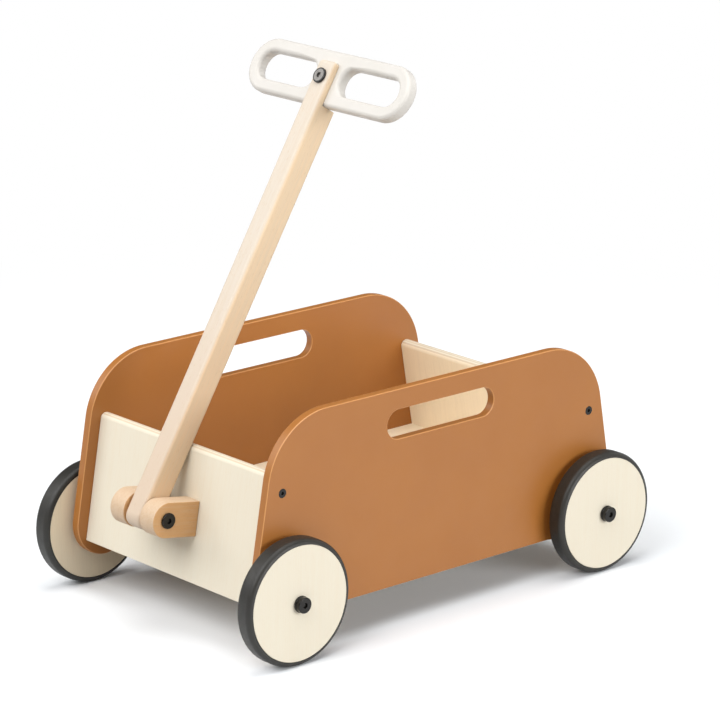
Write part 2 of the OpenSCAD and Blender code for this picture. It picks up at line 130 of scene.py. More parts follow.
@dataclass(frozen=True)
class Layout:
    """Sizes that several pieces share, in millimetres and degrees, with Y from the middle of the wheelbase."""

    axle_z: float = 60.0
    side_len: float = 462.4
    side_z: float = 38.0
    side_h: float = 190.0
    side_t: float = 9.0
    box_w: float = 253.7
    slope: float = 9.9
    lobe_r: float = 33.0
    lobe_rise: float = 5.0
    end_inset: float = 12.0
    end_t: float = 12.0
    end_h: float = 125.2
    end_drop: float = 9.2
    end_round: float = 5.5
    screw_down: float = 15.5
    screw_hole_r: float = 2.05
    screw_sink_r: float = 4.55
    screw_sink_h: float = 2.65
    pivot_out: float = 36.0
    pivot_up: float = 60.6
    bracket_r: float = 17.0
    bar_d: float = 26.0
    bar_set: float = 1.5
    tyre_r: float = 60.0
    rest_gap: float = 0.25
    fix_gap: float = 0.05

    @property
    def out(self) -> Pair:
        """Outward normal of the rear panel, as (Y, Z)."""
        return math.cos(math.radians(self.slope)), math.sin(math.radians(self.slope))

    @property
    def side_top(self) -> float:
        """Height of the side panels' top edge."""
        return self.side_z + self.side_h

    @property
    def side_in(self) -> float:
        """Distance of a side panel's inner face from the middle plane."""
        return self.box_w / 2

    @property
    def side_out(self) -> float:
        """Distance of a side panel's outer face from the middle plane."""
        return self.side_in + self.side_t

    @property
    def lobe_z(self) -> float:
        """Height of the side panels' round lobes."""
        return self.axle_z + self.lobe_rise

    @property
    def axle_y(self) -> float:
        """Distance of an axle from the middle of the wheelbase."""
        return self.edge_y(self.lobe_z) - self.lobe_r / self.out[0]

    @property
    def axle(self) -> Pair:
        """The rear axle, as (Y, Z)."""
        return self.axle_y, self.axle_z

    @property
    def screw(self) -> Pair:
        """A side panel's rear screw, as (Y, Z)."""
        return self.end_point(-self.end_t / 2, self.end_h - self.screw_down)

    @property
    def pivot(self) -> Pair:
        """The handle's pivot, as (distance to the front, Z)."""
        return self.end_point(self.pivot_out, self.pivot_up)

    @property
    def bar_back(self) -> float:
        """Distance of the bar's back behind the pivot."""
        return self.bar_d / 2 - self.bar_set

    @property
    def bar_front(self) -> float:
        """Place of the bar's front, counted backwards from the pivot."""
        return self.bar_back - self.bar_d

    @property
    def lean(self) -> float:
        """The bar's lean on the front panel's top edge.

        Returns:
            The angle from the upright, in radians.
        """
        stop = self.end_point(-self.end_round, self.end_h - self.end_round)
        run = self.pivot[0] - stop[0]
        rise = stop[1] - self.pivot[1]
        reach = self.bar_back + self.end_round + self.rest_gap
        return math.atan2(run, rise) - math.asin(reach / math.hypot(run, rise))

    @property
    def middle(self) -> float:
        """Shift of the wheelbase's middle from the part's own origin."""
        return (self.pivot[0] + self.bracket_r - self.axle_y - self.tyre_r) / 2

    def edge_y(self, z: float) -> float:
        """Y of the side panels' rear edge at a height."""
        return self.side_len / 2 - (z - self.side_z) * math.tan(math.radians(self.slope))

    def end_point(self, out: float, up: float) -> Pair:
        """A point of the rear panel, as (Y, Z).

        Args:
            out: Distance from its outer face, along the normal.
            up: Distance from its bottom edge, along its slope.

        Returns:
            The point's Y and Z.
        """
        z = self.axle_z - self.end_drop
        y = self.edge_y(z) - self.end_inset
        return y + out * self.out[0] - up * self.out[1], z + out * self.out[1] + up * self.out[0]


LAYOUT = Layout()


@dataclass(frozen=True)
class Plane:
    """A drawing plane: its origin in millimetres and the two directions drawn in."""

    origin: Triple
    right: Triple
    up: Triple

    @property
    def normal(self) -> Vector:
        """Direction that a drawing is thickened in."""
        return Vector(self.right).cross(Vector(self.up))

    def at(self, point: Pair) -> Vector:
        """Place of a drawn point, in metres."""
        return (Vector(self.origin) + point[0] * Vector(self.right) + point[1] * Vector(self.up)) * MM


def side_view(x: float) -> Plane:
    """The wagon seen from its right, Y to the right and Z up, at a distance from the middle plane."""
    return Plane((x, LAYOUT.middle, 0.0), Y_WAY, Z_WAY)


def across(side: int, end: int, point: Pair) -> Plane:
    """A line across the wagon, with distance from the middle plane to the right and radius up.

    Args:
        side: Which side it points to.
        end: Which end it is at.
        point: Its Y from the middle of the wheelbase and its Z, at the rear.

    Returns:
        The plane that a turned piece on this line is drawn in.
    """
    return Plane((0.0, LAYOUT.middle + end * point[0], point[1]), (float(side), 0.0, 0.0), Z_WAY)


def bar_y() -> Triple:
    """Direction from the bar's front to its back."""
    return 0.0, math.cos(LAYOUT.lean), -math.sin(LAYOUT.lean)


def bar_up() -> Triple:
    """Direction up the bar."""
    return 0.0, math.sin(LAYOUT.lean), math.cos(LAYOUT.lean)


def pivot_place() -> Vector:
    """The handle's pivot, in millimetres."""
    return Vector((0.0, LAYOUT.middle - LAYOUT.pivot[0], LAYOUT.pivot[1]))


def pick(*pieces: Piece) -> None:
    """Leaves only these pieces selected, with the first of them active.

    Args:
        pieces: The pieces, or none to leave nothing selected.
    """
    if bpy.context.object and bpy.context.object.mode != "OBJECT":
        bpy.ops.object.mode_set(mode="OBJECT")
    bpy.ops.object.select_all(action="DESELECT")
    for piece in pieces:
        piece.select_set(True)
    if pieces:
        bpy.context.view_layer.objects.active = pieces[0]


class Pen:
    """Draws outlines in a plane, as one mesh of extruded points, and makes a board or a turned piece of them."""

    def __init__(self, name: str, plane: Plane) -> None:
        """Starts an empty drawing.

        Args:
            name: Name of the piece.
            plane: The plane to draw in.
        """
        pick()
        bpy.ops.mesh.primitive_plane_add(size=MM)
        self.piece: Piece = bpy.context.object
        self.piece.name = name
        self.piece.data.name = name
        self.plane = plane
        self.first: Pair = (0.0, 0.0)
        self.tip: Pair = (0.0, 0.0)
        bpy.ops.object.mode_set(mode="EDIT")
        bpy.ops.mesh.select_all(action="SELECT")
        bpy.ops.mesh.delete(type="VERT")

    def start(self, point: Pair) -> "Pen":
        """Sets the pen down for a new outline.

        Args:
            point: Where the outline starts.

        Returns:
            The pen.
        """
        bpy.ops.mesh.primitive_plane_add(size=MM, location=self.plane.at(point))
        bpy.ops.mesh.merge(type="CENTER")
        self.first = self.tip = point
        return self

    def line(self, *points: Pair) -> "Pen":
        """Draws straight lines.

        Args:
            points: The points to draw to, in turn.

        Returns:
            The pen.
        """
        for point in points:
            step = self.plane.at(point) - self.plane.at(self.tip)
            bpy.ops.mesh.extrude_vertices_move(TRANSFORM_OT_translate={"value": step})
            self.tip = point
        return self

    def arc(self, centre: Pair, turn: float, steps: int) -> "Pen":
        """Draws an arc.

        Args:
            centre: Centre of the arc.
            turn: Angle in degrees, counter-clockwise.
            steps: Number of edges.

        Returns:
            The pen.
        """
        angle = math.radians(turn)
        bpy.ops.mesh.spin(steps=steps, angle=-angle, center=self.plane.at(centre), axis=self.plane.normal)
        arm = Vector(self.tip) - Vector(centre)
        arm.rotate(Matrix.Rotation(angle, 2))
        self.tip = centre[0] + arm.x, centre[1] + arm.y
        return self

    def close(self) -> "Pen":
        """Draws back to the outline's first point."""
        return self.line(self.first)

    def slot(self, centre: Pair, length: float, height: float, steps: int) -> "Pen":
        """Draws a slot with round ends.

        Args:
            centre: Middle of the slot.
            length: Its whole length.
            height: Its height, and the diameter of its ends.
            steps: Number of edges in each round end.

        Returns:
            The pen.
        """
        u, v = centre
        run = (length - height) / 2
        self.start((u - run, v - height / 2)).line((u + run, v - height / 2))
        self.arc((u + run, v), 180, steps).line((u - run, v + height / 2))
        return self.arc((u - run, v), 180, steps)

    def board(self, thick: float, holes: bool = False) -> Piece:
        """Fills what was drawn and gives it a thickness.

        Args:
            thick: Thickness along the plane's normal.
            holes: Whether outlines were drawn inside the first one.

        Returns:
            The piece.
        """
        bpy.ops.mesh.select_all(action="SELECT")
        bpy.ops.mesh.remove_doubles(threshold=MERGE)
        if holes:
            bpy.ops.mesh.fill(use_beauty=True)
        else:
            bpy.ops.mesh.edge_face_add()
        bpy.ops.mesh.select_all(action="SELECT")
        bpy.ops.mesh.extrude_region_move(TRANSFORM_OT_translate={"value": self.plane.normal * thick * MM})
        return self.closed()

    def turned(self, steps: int) -> Piece:
        """Turns what was drawn round the line that runs to the plane's right.

        Args:
            steps: Number of edges round the piece.

        Returns:
            The piece.
        """
        bpy.ops.mesh.select_all(action="SELECT")
        centre = self.plane.at((0.0, 0.0))
        bpy.ops.mesh.spin(steps=steps, angle=FULL_TURN, center=centre, axis=self.plane.right)
        return self.closed()

    def closed(self) -> Piece:
        """Merges the seams, turns the faces outwards and leaves edit mode.

        Returns:
            The piece.
        """
        bpy.ops.mesh.select_all(action="SELECT")
        bpy.ops.mesh.remove_doubles(threshold=MERGE)
        bpy.ops.mesh.normals_make_consistent(inside=False)
        bpy.ops.object.mode_set(mode="OBJECT")
        return self.piece


@contextmanager
def editing(piece: Piece, action: str = "SELECT") -> Iterator[None]:
    """Opens a piece's mesh for the operators, and closes it afterwards.

    Args:
        piece: The piece.
        action: SELECT to start with all of the mesh selected, DESELECT to start with none of it.

    Yields:
        Nothing.
    """
    pick(piece)
    bpy.ops.object.mode_set(mode="EDIT")
    bpy.ops.mesh.select_all(action=action)
    yield
    bpy.ops.object.mode_set(mode="OBJECT")


def applied(piece: Piece, kind: str, **settings: object) -> None:
    """Adds a modifier to a piece and applies it.

    Args:
        piece: The piece.
        kind: The modifier's type.
        settings: The modifier's settings.
    """
    pick(piece)
    modifier = piece.modifiers.new(kind, kind)
    for name, value in settings.items():
        setattr(modifier, name, value)
    bpy.ops.object.modifier_apply(modifier=modifier.name)


def soften(piece: Piece, width: float, segments: int = 3) -> None:
    """Rounds a piece's sharp edges.

    Args:
        piece: The piece.
        width: Radius of the rounding, in millimetres.
        segments: Faces across it.
    """
    applied(piece, "BEVEL", width=width * MM, segments=segments,
            limit_method="ANGLE", angle_limit=SHARP, face_strength_mode="FSTR_ALL")


def round_edges(piece: Piece, width: float, segments: int, wanted: Callable[[Vector, Vector], bool]) -> None:
    """Rounds the edges of a piece that a test picks.

    Args:
        piece: The piece.
        width: Radius of the rounding, in millimetres.
        segments: Faces across it.
        wanted: Test of an edge's two ends, in metres.
    """
    with editing(piece, "DESELECT"):
        bpy.ops.mesh.select_mode(type="EDGE")
        mesh = bmesh.from_edit_mesh(piece.data)
        for edge in mesh.edges:
            edge.select_set(wanted(*(vertex.co for vertex in edge.verts)))
        bmesh.update_edit_mesh(piece.data)
        bpy.ops.mesh.bevel(offset=width * MM, segments=segments, affect="EDGES", face_strength_mode="ALL")
        bpy.ops.mesh.select_mode(type="VERT")


def mirrored(piece: Piece) -> None:
    """Cuts a piece off at the part's middle plane and mirrors its right half to the left.

    Args:
        piece: The piece.
    """
    with editing(piece):
        bpy.ops.mesh.bisect(plane_co=ORIGIN, plane_no=X_WAY, clear_inner=True)
    applied(piece, "MIRROR", merge_threshold=MERGE)


def cut_out(piece: Piece, cutter: Piece) -> None:
    """Cuts one piece with another and clears the slivers that the cut leaves.

    Args:
        piece: The piece to cut.
        cutter: The piece to cut it with, which is then removed.
    """
    applied(piece, "BOOLEAN", object=cutter, operation="DIFFERENCE", solver="EXACT")
    pick(cutter)
    bpy.ops.object.delete()
    with editing(piece):
        bpy.ops.mesh.remove_doubles(threshold=MERGE)
        bpy.ops.mesh.dissolve_degenerate(threshold=MERGE)


def drill(piece: Piece, line: Plane, profile: list[Pair], steps: int = ROUND_HOLE) -> None:
    """Cuts a turned hole.

    Args:
        piece: The piece to drill.
        line: The plane that the hole's profile is drawn in.
        profile: Points along the line and out from it, from one end to the other.
        steps: Number of edges round the hole.
    """
    pen = Pen("drill", line).start((profile[0][0], 0.0)).line(*profile, (profile[-1][0], 0.0))
    cut_out(piece, pen.turned(steps))


def bore(piece: Piece, line: Plane, start: float, end: float, radius: float, steps: int = ROUND_HOLE) -> None:
    """Cuts a straight hole.

    Args:
        piece: The piece to drill.
        line: The hole's line.
        start: Where the hole starts along it.
        end: Where the hole ends.
        radius: Its radius.
        steps: Number of edges round it.
    """
    drill(piece, line, [(start, radius), (end, radius)], steps)


def screw_hole(piece: Piece, line: Plane, start: float, face: float) -> None:
    """Cuts a countersunk hole for a wood screw.

    Args:
        piece: The board to drill.
        line: The hole's line.
        start: The board's one face along it.
        face: The board's other face, which the screw's head is flush with.
    """
    shank, head, deep = LAYOUT.screw_hole_r, LAYOUT.screw_sink_r, LAYOUT.screw_sink_h
    drill(piece, line, [(start - CUT, shank), (face - deep, shank), (face, head), (face + CUT, head)])


def socket(piece: Piece, line: Plane, face: float, flats: float, depth: float) -> None:
    """Sinks a hex socket in the end of a turned piece.

    Args:
        piece: The bolt or screw.
        line: The plane that it was drawn in.
        face: Place of its end face along the line.
        flats: Width across the socket's flats.
        depth: Depth of the socket.
    """
    bore(piece, line, face - depth, face + CUT, flats / math.sqrt(3), HEX_HOLE)


def joined(name: str, pieces: list[Piece]) -> Piece:
    """Makes several pieces one.

    Args:
        name: Name of the new piece.
        pieces: The pieces.

    Returns:
        The new piece.
    """
    pick(*pieces)
    bpy.ops.object.join()
    pieces[0].name = pieces[0].data.name = name
    return pieces[0]


def copied(piece: Piece, name: str, shift: Triple = ORIGIN, mirror: Triple = UNMIRRORED) -> Piece:
    """Copies a piece with its own mesh.

    Args:
        piece: The piece to copy.
        name: Name of the copy.
        shift: How far the copy moves, in millimetres.
        mirror: -1 for each axis that the copy is mirrored along, about the part's origin.

    Returns:
        The copy.
    """
    pick(piece)
    bpy.ops.object.duplicate(linked=False)
    copy = bpy.context.object
    copy.name = copy.data.name = name
    with editing(copy):
        bpy.ops.transform.resize(value=mirror, center_override=ORIGIN)
        bpy.ops.transform.translate(value=Vector(shift) * MM)
        bpy.ops.mesh.normals_make_consistent(inside=False)
    return copy


def hand_over(piece: Piece, body: str, slot: Slot, material: bpy.types.Material, *nodes: str) -> None:
    """Smooths a finished piece, gives it its finish and puts it on its body.

    Args:
        piece: The piece.
        body: The body that it rides on.
        slot: The record's slot for its finish; not used.
        material: Its finish.
        nodes: The nodes that it stands for.
    """
    pick(piece)
    bpy.ops.object.transform_apply(location=True, rotation=True, scale=True)
    bpy.ops.object.shade_smooth_by_angle(angle=SHARP)
    applied(piece, "WEIGHTED_NORMAL", keep_sharp=True, weight=FACE_WEIGHT, use_face_influence=True)
    piece.data.materials.clear()
    piece.data.materials.append(material)
    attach(piece, body)
    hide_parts(*nodes)
    log.info("%s rides on %s and stands for %s", piece.name, body, ", ".join(nodes))


def linear(colour: Triple) -> tuple[float, float, float, float]:
    """A colour as the shaders want it, from its red, green and blue on a screen, 0 to 255."""
    shares = [c / 255 for c in colour]
    return (*(s / 12.92 if s <= 0.04045 else ((s + 0.055) / 1.055) ** 2.4 for s in shares), 1.0)


@dataclass(frozen=True)
class Place:
    """Where a pattern lies: a point in millimetres and a turn in degrees."""

    origin: Triple = ORIGIN
    turn: Triple = (0.0, 0.0, 0.0)


class Nodes:
    """A tree of shader nodes, added one at a time."""

    def __init__(self, owner: bpy.types.Material | bpy.types.World) -> None:
        """Opens the tree of a material or a world."""
        owner.use_nodes = True
        self.tree = owner.node_tree

    def feed(self, node: Node, inlets: dict[str | int, object]) -> None:
        """Sets or links a node's inlets.

        Args:
            node: The node.
            inlets: For each inlet its value, or another node's outlet.
        """
        for name, value in inlets.items():
            if isinstance(value, Socket):
                self.tree.links.new(value, node.inputs[name])
            else:
                node.inputs[name].default_value = value

    def add(self, kind: str, inlets: dict[str | int, object], **settings: object) -> Node:
        """Adds a node.

        Args:
            kind: The node's type.
            inlets: For each inlet its value, or another node's outlet.
            settings: The node's own settings.

        Returns:
            The node.
        """
        node = self.tree.nodes.new(kind)
        for name, value in settings.items():
            setattr(node, name, value)
        self.feed(node, inlets)
        return node

    def math(self, operation: str, first: Socket, second: Socket | float) -> Socket:
        """Works out one step of arithmetic on two values."""
        return self.add("ShaderNodeMath", {0: first, 1: second}, operation=operation).outputs["Value"]

    def span(self, value: Socket, source: Pair, target: Pair = (0.0, 1.0)) -> Socket:
        """Stretches a value smoothly from one range to another.

        Args:
            value: The value.
            source: What becomes the start and the end of the new range.
            target: The new range.

        Returns:
            The new value.
        """
        inlets = dict(zip(("From Min", "From Max", "To Min", "To Max"), (*source, *target)))
        inlets["Value"] = value
        return self.add("ShaderNodeMapRange", inlets, interpolation_type="SMOOTHSTEP").outputs["Result"]


class Graph(Nodes):
    """A finish's nodes, with patterns that lie on the part."""

    def __init__(self, name: str, place: Place, specular: float) -> None:
        """Starts a material with a plain shader.

        Args:
            name: Name of the material.
            place: Where its patterns lie on the part.
            specular: Strength of its highlights.
        """
        self.material = bpy.data.materials.new(name)
        super().__init__(self.material)
        self.place = place
        self.shader = self.tree.nodes["Principled BSDF"]
        self.feed(self.shader, {"Specular IOR Level": specular})
        source = self.add("ShaderNodeTexCoord", {})
        self.coordinates = source.outputs["Object"]
        self.normal = source.outputs["Normal"]

    def mapped(self, size: Triple) -> Socket:
        """Coordinates along the pattern's own axes.

        Args:
            size: Length of one pattern unit along each axis, in millimetres.

        Returns:
            The coordinates.
        """
        inlets = {
            "Location": Vector(self.place.origin) * MM,
            "Rotation": [math.radians(t) for t in self.place.turn],
            "Scale": Vector(size) * MM,
            "Vector": self.coordinates,
        }
        return self.add("ShaderNodeMapping", inlets, vector_type="TEXTURE").outputs["Vector"]

    def noise(self, size: Triple, detail: float = 3.0, distortion: float = 0.0) -> Socket:
        """Soft random patches.

        Args:
            size: Size of a patch along each axis, in millimetres.
            detail: Octaves of finer patches.
            distortion: How far they are pulled about.

        Returns:
            A value about 0.5.
        """
        inlets = {"Scale": 1.0, "Detail": detail, "Distortion": distortion, "Vector": self.mapped(size)}
        return self.add("ShaderNodeTexNoise", inlets, noise_dimensions="3D").outputs["Fac"]

    def along(self, axis: Axis, vector: Socket) -> Socket:
        """A vector's length along an axis."""
        return self.add("ShaderNodeSeparateXYZ", {"Vector": vector}).outputs[axis.value]

    def squared(self, axis: Axis, vector: Socket) -> Socket:
        """The square of a vector's length along an axis."""
        length = self.along(axis, vector)
        return self.math("MULTIPLY", length, length)

    def mix(self, share: Socket, first: Triple | Socket, second: Triple | Socket) -> Socket:
        """Mixes two colours.

        Args:
            share: How much of the second colour shows.
            first: A screen colour, or the colour so far.
            second: A screen colour, or another colour so far.

        Returns:
            The mixed colour.
        """
        colours = (linear(colour) if isinstance(colour, tuple) else colour for colour in (first, second))
        inlets = {"Factor": share, **dict(zip(MIX_COLOURS, colours))}
        return self.add("ShaderNodeMix", inlets, data_type="RGBA").outputs[MIX_RESULT]

    def finish(self, colour: Socket, roughness: Socket, height: Socket, bump: float) -> bpy.types.Material:
        """Joins the patterns to the shader.

        Args:
            colour: The surface's colour.
            roughness: Its roughness.
            height: Its fine relief.
            bump: Depth of that relief, in millimetres.

        Returns:
            The material.
        """
        relief = self.add("ShaderNodeBump", {"Distance": bump * MM, "Height": height})
        self.feed(self.shader, {"Normal": relief.outputs["Normal"], "Base Color": colour, "Roughness": roughness})
        return self.material


@dataclass(frozen=True)
class Coating:
    """An even finish with slight clouds and a fine relief, such as paint, rubber, plastic or metal."""

    name: str
    colour: Triple
    cloud: Triple
    cloud_size: float
    relief_size: float
    relief: float
    rough: Pair
    metallic: float = 0.0
    specular: float = 0.5
    # A painted highlight: a lighter colour along the rounded arrises.
    arris: Triple | None = None
    arris_highlight_start: Pair = (0.02, 0.12)
    arris_highlight_end: Pair = (0.88, 0.98)
    arris_highlight_share: float = 0.9
    rim: Triple | None = None
    rim_r: float = 1.0
    rim_blend: Pair = (0.9, 1.05)

    def material(self, place: Place = Place()) -> bpy.types.Material:
        """Makes the material.

        Args:
            place: Where its patterns lie.

        Returns:
            The material.
        """
        graph = Graph(self.name, place, self.specular)
        graph.feed(graph.shader, {"Metallic": self.metallic})
        clouds = graph.noise((self.cloud_size,) * 3, detail=4.0)
        colour = graph.mix(graph.span(clouds, NOISE_RANGE), self.colour, self.cloud)
        # Painted highlight along the arrises.
        if self.arris:
            colour = graph.mix(self.arris_highlight_mask(graph), colour, self.arris)
        if self.rim:
            colour = graph.mix(self.beyond_rim(graph), colour, self.rim)
        relief = graph.noise((self.relief_size,) * 3, detail=2.0)
        rough = graph.span(graph.noise((self.cloud_size / 3,) * 3), NOISE_RANGE, self.rough)
        return graph.finish(colour, rough, relief, self.relief)

    def arris_highlight_mask(self, graph: Graph) -> Socket:
        """Where a board's surface turns from its edge to its face, across the part, which gets a painted highlight.

        Args:
            graph: The material.

        Returns:
            The painted highlight's share there and 0 elsewhere.
        """
        facing = graph.squared(Axis.X, graph.normal)
        start = graph.span(facing, self.arris_highlight_start, (0.0, self.arris_highlight_share))
        return graph.math("MULTIPLY", start, graph.span(facing, self.arris_highlight_end, (1.0, 0.0)))

    def beyond_rim(self, graph: Graph) -> Socket:
        """Where a turned piece lies beyond its rim's inner radius, about the pattern's Y axis.

        Args:
            graph: The material.

        Returns:
            1 there and 0 elsewhere.
        """
        place = graph.mapped((self.rim_r,) * 3)
        squares = (graph.squared(axis, place) for axis in (Axis.X, Axis.Z))
        return graph.span(graph.math("ADD", *squares), self.rim_blend)


@dataclass(frozen=True)
class Timber:
    """Lacquered wood with a long grain along its own Z axis, short flecks and, on plywood, plies."""

    name: str
    colour: Triple
    grain: Triple
    fleck: Triple
    grain_share: float
    fleck_share: float
    fleck_size: Triple = (0.7, 0.7, 9.0)
    grain_size: Triple = (5.0, 5.0, 160.0)
    grain_range: Pair = (0.36, 0.66)
    grain_bend: float = 0.6
    fine_grain: float = 6.0
    fleck_range: Pair = (0.64, 0.74)
    # Colour of the faces across X: partly the cut of the wood, partly painted shade on the sides.
    side: Triple | None = None
    side_shade_range: Pair = (0.3, 0.9)
    ply: float = 0.0
    ply_colour: Triple = (0.0, 0.0, 0.0)
    ply_share: float = 0.0
    ply_blend: Pair = (0.25, 0.75)
    # Colour of the back faces: painted warm light bounced from the painted sides.
    back: Triple = (0.0, 0.0, 0.0)
    # Painted shade: darker and warmer towards the foot, near the brackets and the front panel.
    foot: Triple | None = None
    foot_shade_share: float = 0.3
    foot_len: float = 300.0
    rough: Pair = (0.48, 0.6)
    specular: float = 0.3
    relief: float = 0.04

    def material(self, place: Place, plies: Axis = Axis.Y, thick: float = 0.0, back: int = 0) -> bpy.types.Material:
        """Makes the material for one board.

        Args:
            place: Middle of the board and how it is turned.
            plies: The axis that its plies are stacked along.
            thick: Thickness of the board.
            back: The side of that axis whose outer ply gets painted warm bounce light: 1, -1 or 0 for none.

        Returns:
            The material.
        """
        graph = Graph(self.name, place, self.specular)
        wide = graph.noise(self.grain_size, detail=4.0, distortion=self.grain_bend)
        fine = graph.noise(tuple(s / self.fine_grain for s in self.grain_size), detail=2.0)
        streaks = graph.math("MULTIPLY", graph.math("ADD", wide, fine), 0.5)
        colour = self.colour
        if self.ply:
            count = 2 * round((thick / self.ply - 1) / 2) + 1
            depth = graph.along(plies, graph.mapped((thick / count,) * 3))
            # The back face's outer ply gets the painted warm bounce light.
            far = graph.math("GREATER_THAN", graph.math("MULTIPLY", depth, float(back)), count / 2 - 1.0)
            colour = graph.mix(far, colour, self.back)
        # Faces across X: partly the wood's cut, partly painted shade on the sides.
        if self.side:
            facing = graph.squared(Axis.X, graph.normal)
            colour = graph.mix(graph.span(facing, self.side_shade_range), colour, self.side)
        # Painted shade towards the foot.
        if self.foot:
            height = graph.along(Axis.Z, graph.mapped((self.foot_len,) * 3))
            colour = graph.mix(graph.span(height, (0.0, 1.0), (self.foot_shade_share, 0.0)), colour, self.foot)
        colour = graph.mix(graph.span(streaks, self.grain_range, (0.0, self.grain_share)), colour, self.grain)
        flecks = graph.span(graph.noise(self.fleck_size, detail=1.0), self.fleck_range, (0.0, self.fleck_share))
        colour = graph.mix(flecks, colour, self.fleck)
        if self.ply:
            colour = graph.mix(self.ply_lines(graph, depth, count), colour, self.ply_colour)
        rough = graph.span(streaks, NOISE_RANGE, self.rough)
        return graph.finish(colour, rough, graph.math("SUBTRACT", fine, flecks), self.relief)

    def ply_lines(self, graph: Graph, middle: Socket, count: int) -> Socket:
        """Where the cross plies show on the edges.

        Args:
            graph: The material.
            middle: Distance from the board's middle, in plies.
            count: Number of plies, with a face ply on both sides.

        Returns:
            The share of the cross plies' colour.
        """
        depth = graph.math("ADD", middle, count / 2)
        layer = graph.math("PINGPONG", graph.math("ADD", depth, 0.5), 1.0)
        edge = graph.math("SUBTRACT", depth, 1.0)
        below, above = graph.math("GREATER_THAN", edge, 0.0), graph.math("LESS_THAN", edge, count - 2.0)
        line = graph.span(layer, self.ply_blend, (self.ply_share, 0.0))
        return graph.math("MULTIPLY", line, graph.math("MULTIPLY", below, above))


# The caramel paint's arris colour is a painted highlight along the rounded edges.
PAINT = Coating(
    "caramel_paint", (169, 106, 39), (166, 103, 37), 60.0, 0.9, 0.03, (0.4, 0.48),
    specular=0.65, arris=(202, 142, 82),
)
RUBBER = Coating("tyre_rubber", (38, 36, 31), (34, 32, 28), 14.0, 0.5, 0.03, (0.44, 0.52))
IVORY = Coating("ivory_lacquer", (213, 209, 203), (210, 206, 199), 30.0, 0.8, 0.02, (0.4, 0.5), specular=0.4)
BLACK_STEEL = Coating("black_oxide", (30, 28, 25), (24, 22, 20), 4.0, 0.25, 0.01, (0.14, 0.2), 0.3, 0.45)
# The grip bolt is black oxide like the other bolts; its grey face is a painted reflection of the key softbox, and
# its rim keeps the black.
GLINT_PAINTED_STEEL = Coating(
    "black_oxide_painted_glint", (112, 109, 105), (104, 101, 98), 4.0, 0.25, 0.01, (0.24, 0.32), 0.6, 1.0,
    rim=(20, 19, 18), rim_r=6.1,
)
PLATED_STEEL = Coating("zinc_plate", (172, 170, 166), (150, 148, 146), 3.0, 0.2, 0.01, (0.26, 0.4), 1.0)
BLACK_PLASTIC = Coating("moulded_black", (50, 48, 47), (44, 43, 42), 5.0, 0.4, 0.02, (0.5, 0.62))
NYLON = Coating("natural_nylon", (224, 222, 214), (216, 213, 203), 5.0, 0.4, 0.01, (0.4, 0.5))
# BIRCH's back colour is painted warm bounce light on the inner faces of the end panels and wheels and on the floor's
# top.
BIRCH = Timber(
    "birch_plywood", (232, 224, 205), (229, 216, 192), (220, 200, 168), 0.3, 0.2,
    ply=1.5, ply_colour=(200, 170, 130), ply_share=0.5, back=(247, 233, 205),
)
# The side colours of BEECH and BAR_WOOD are partly the wood's cut and partly painted shade on the faces across X.
BEECH = Timber(
    "beech", (215, 190, 162), (205, 171, 135), (176, 134, 92), 0.6, 0.45, (0.6, 0.6, 5.0), (2.2, 2.2, 90.0),
    side=(205, 157, 104),
)
# BAR_WOOD's foot colour is painted shade low on the bar, near the brackets.
BAR_WOOD = Timber(
    "pale_bar_wood", (216, 205, 191), (210, 193, 169), (198, 168, 130), 0.5, 0.4, (0.7, 0.7, 6.0), (3.0, 3.0, 180.0),
    side=(228, 201, 166), foot=(198, 146, 92),
)


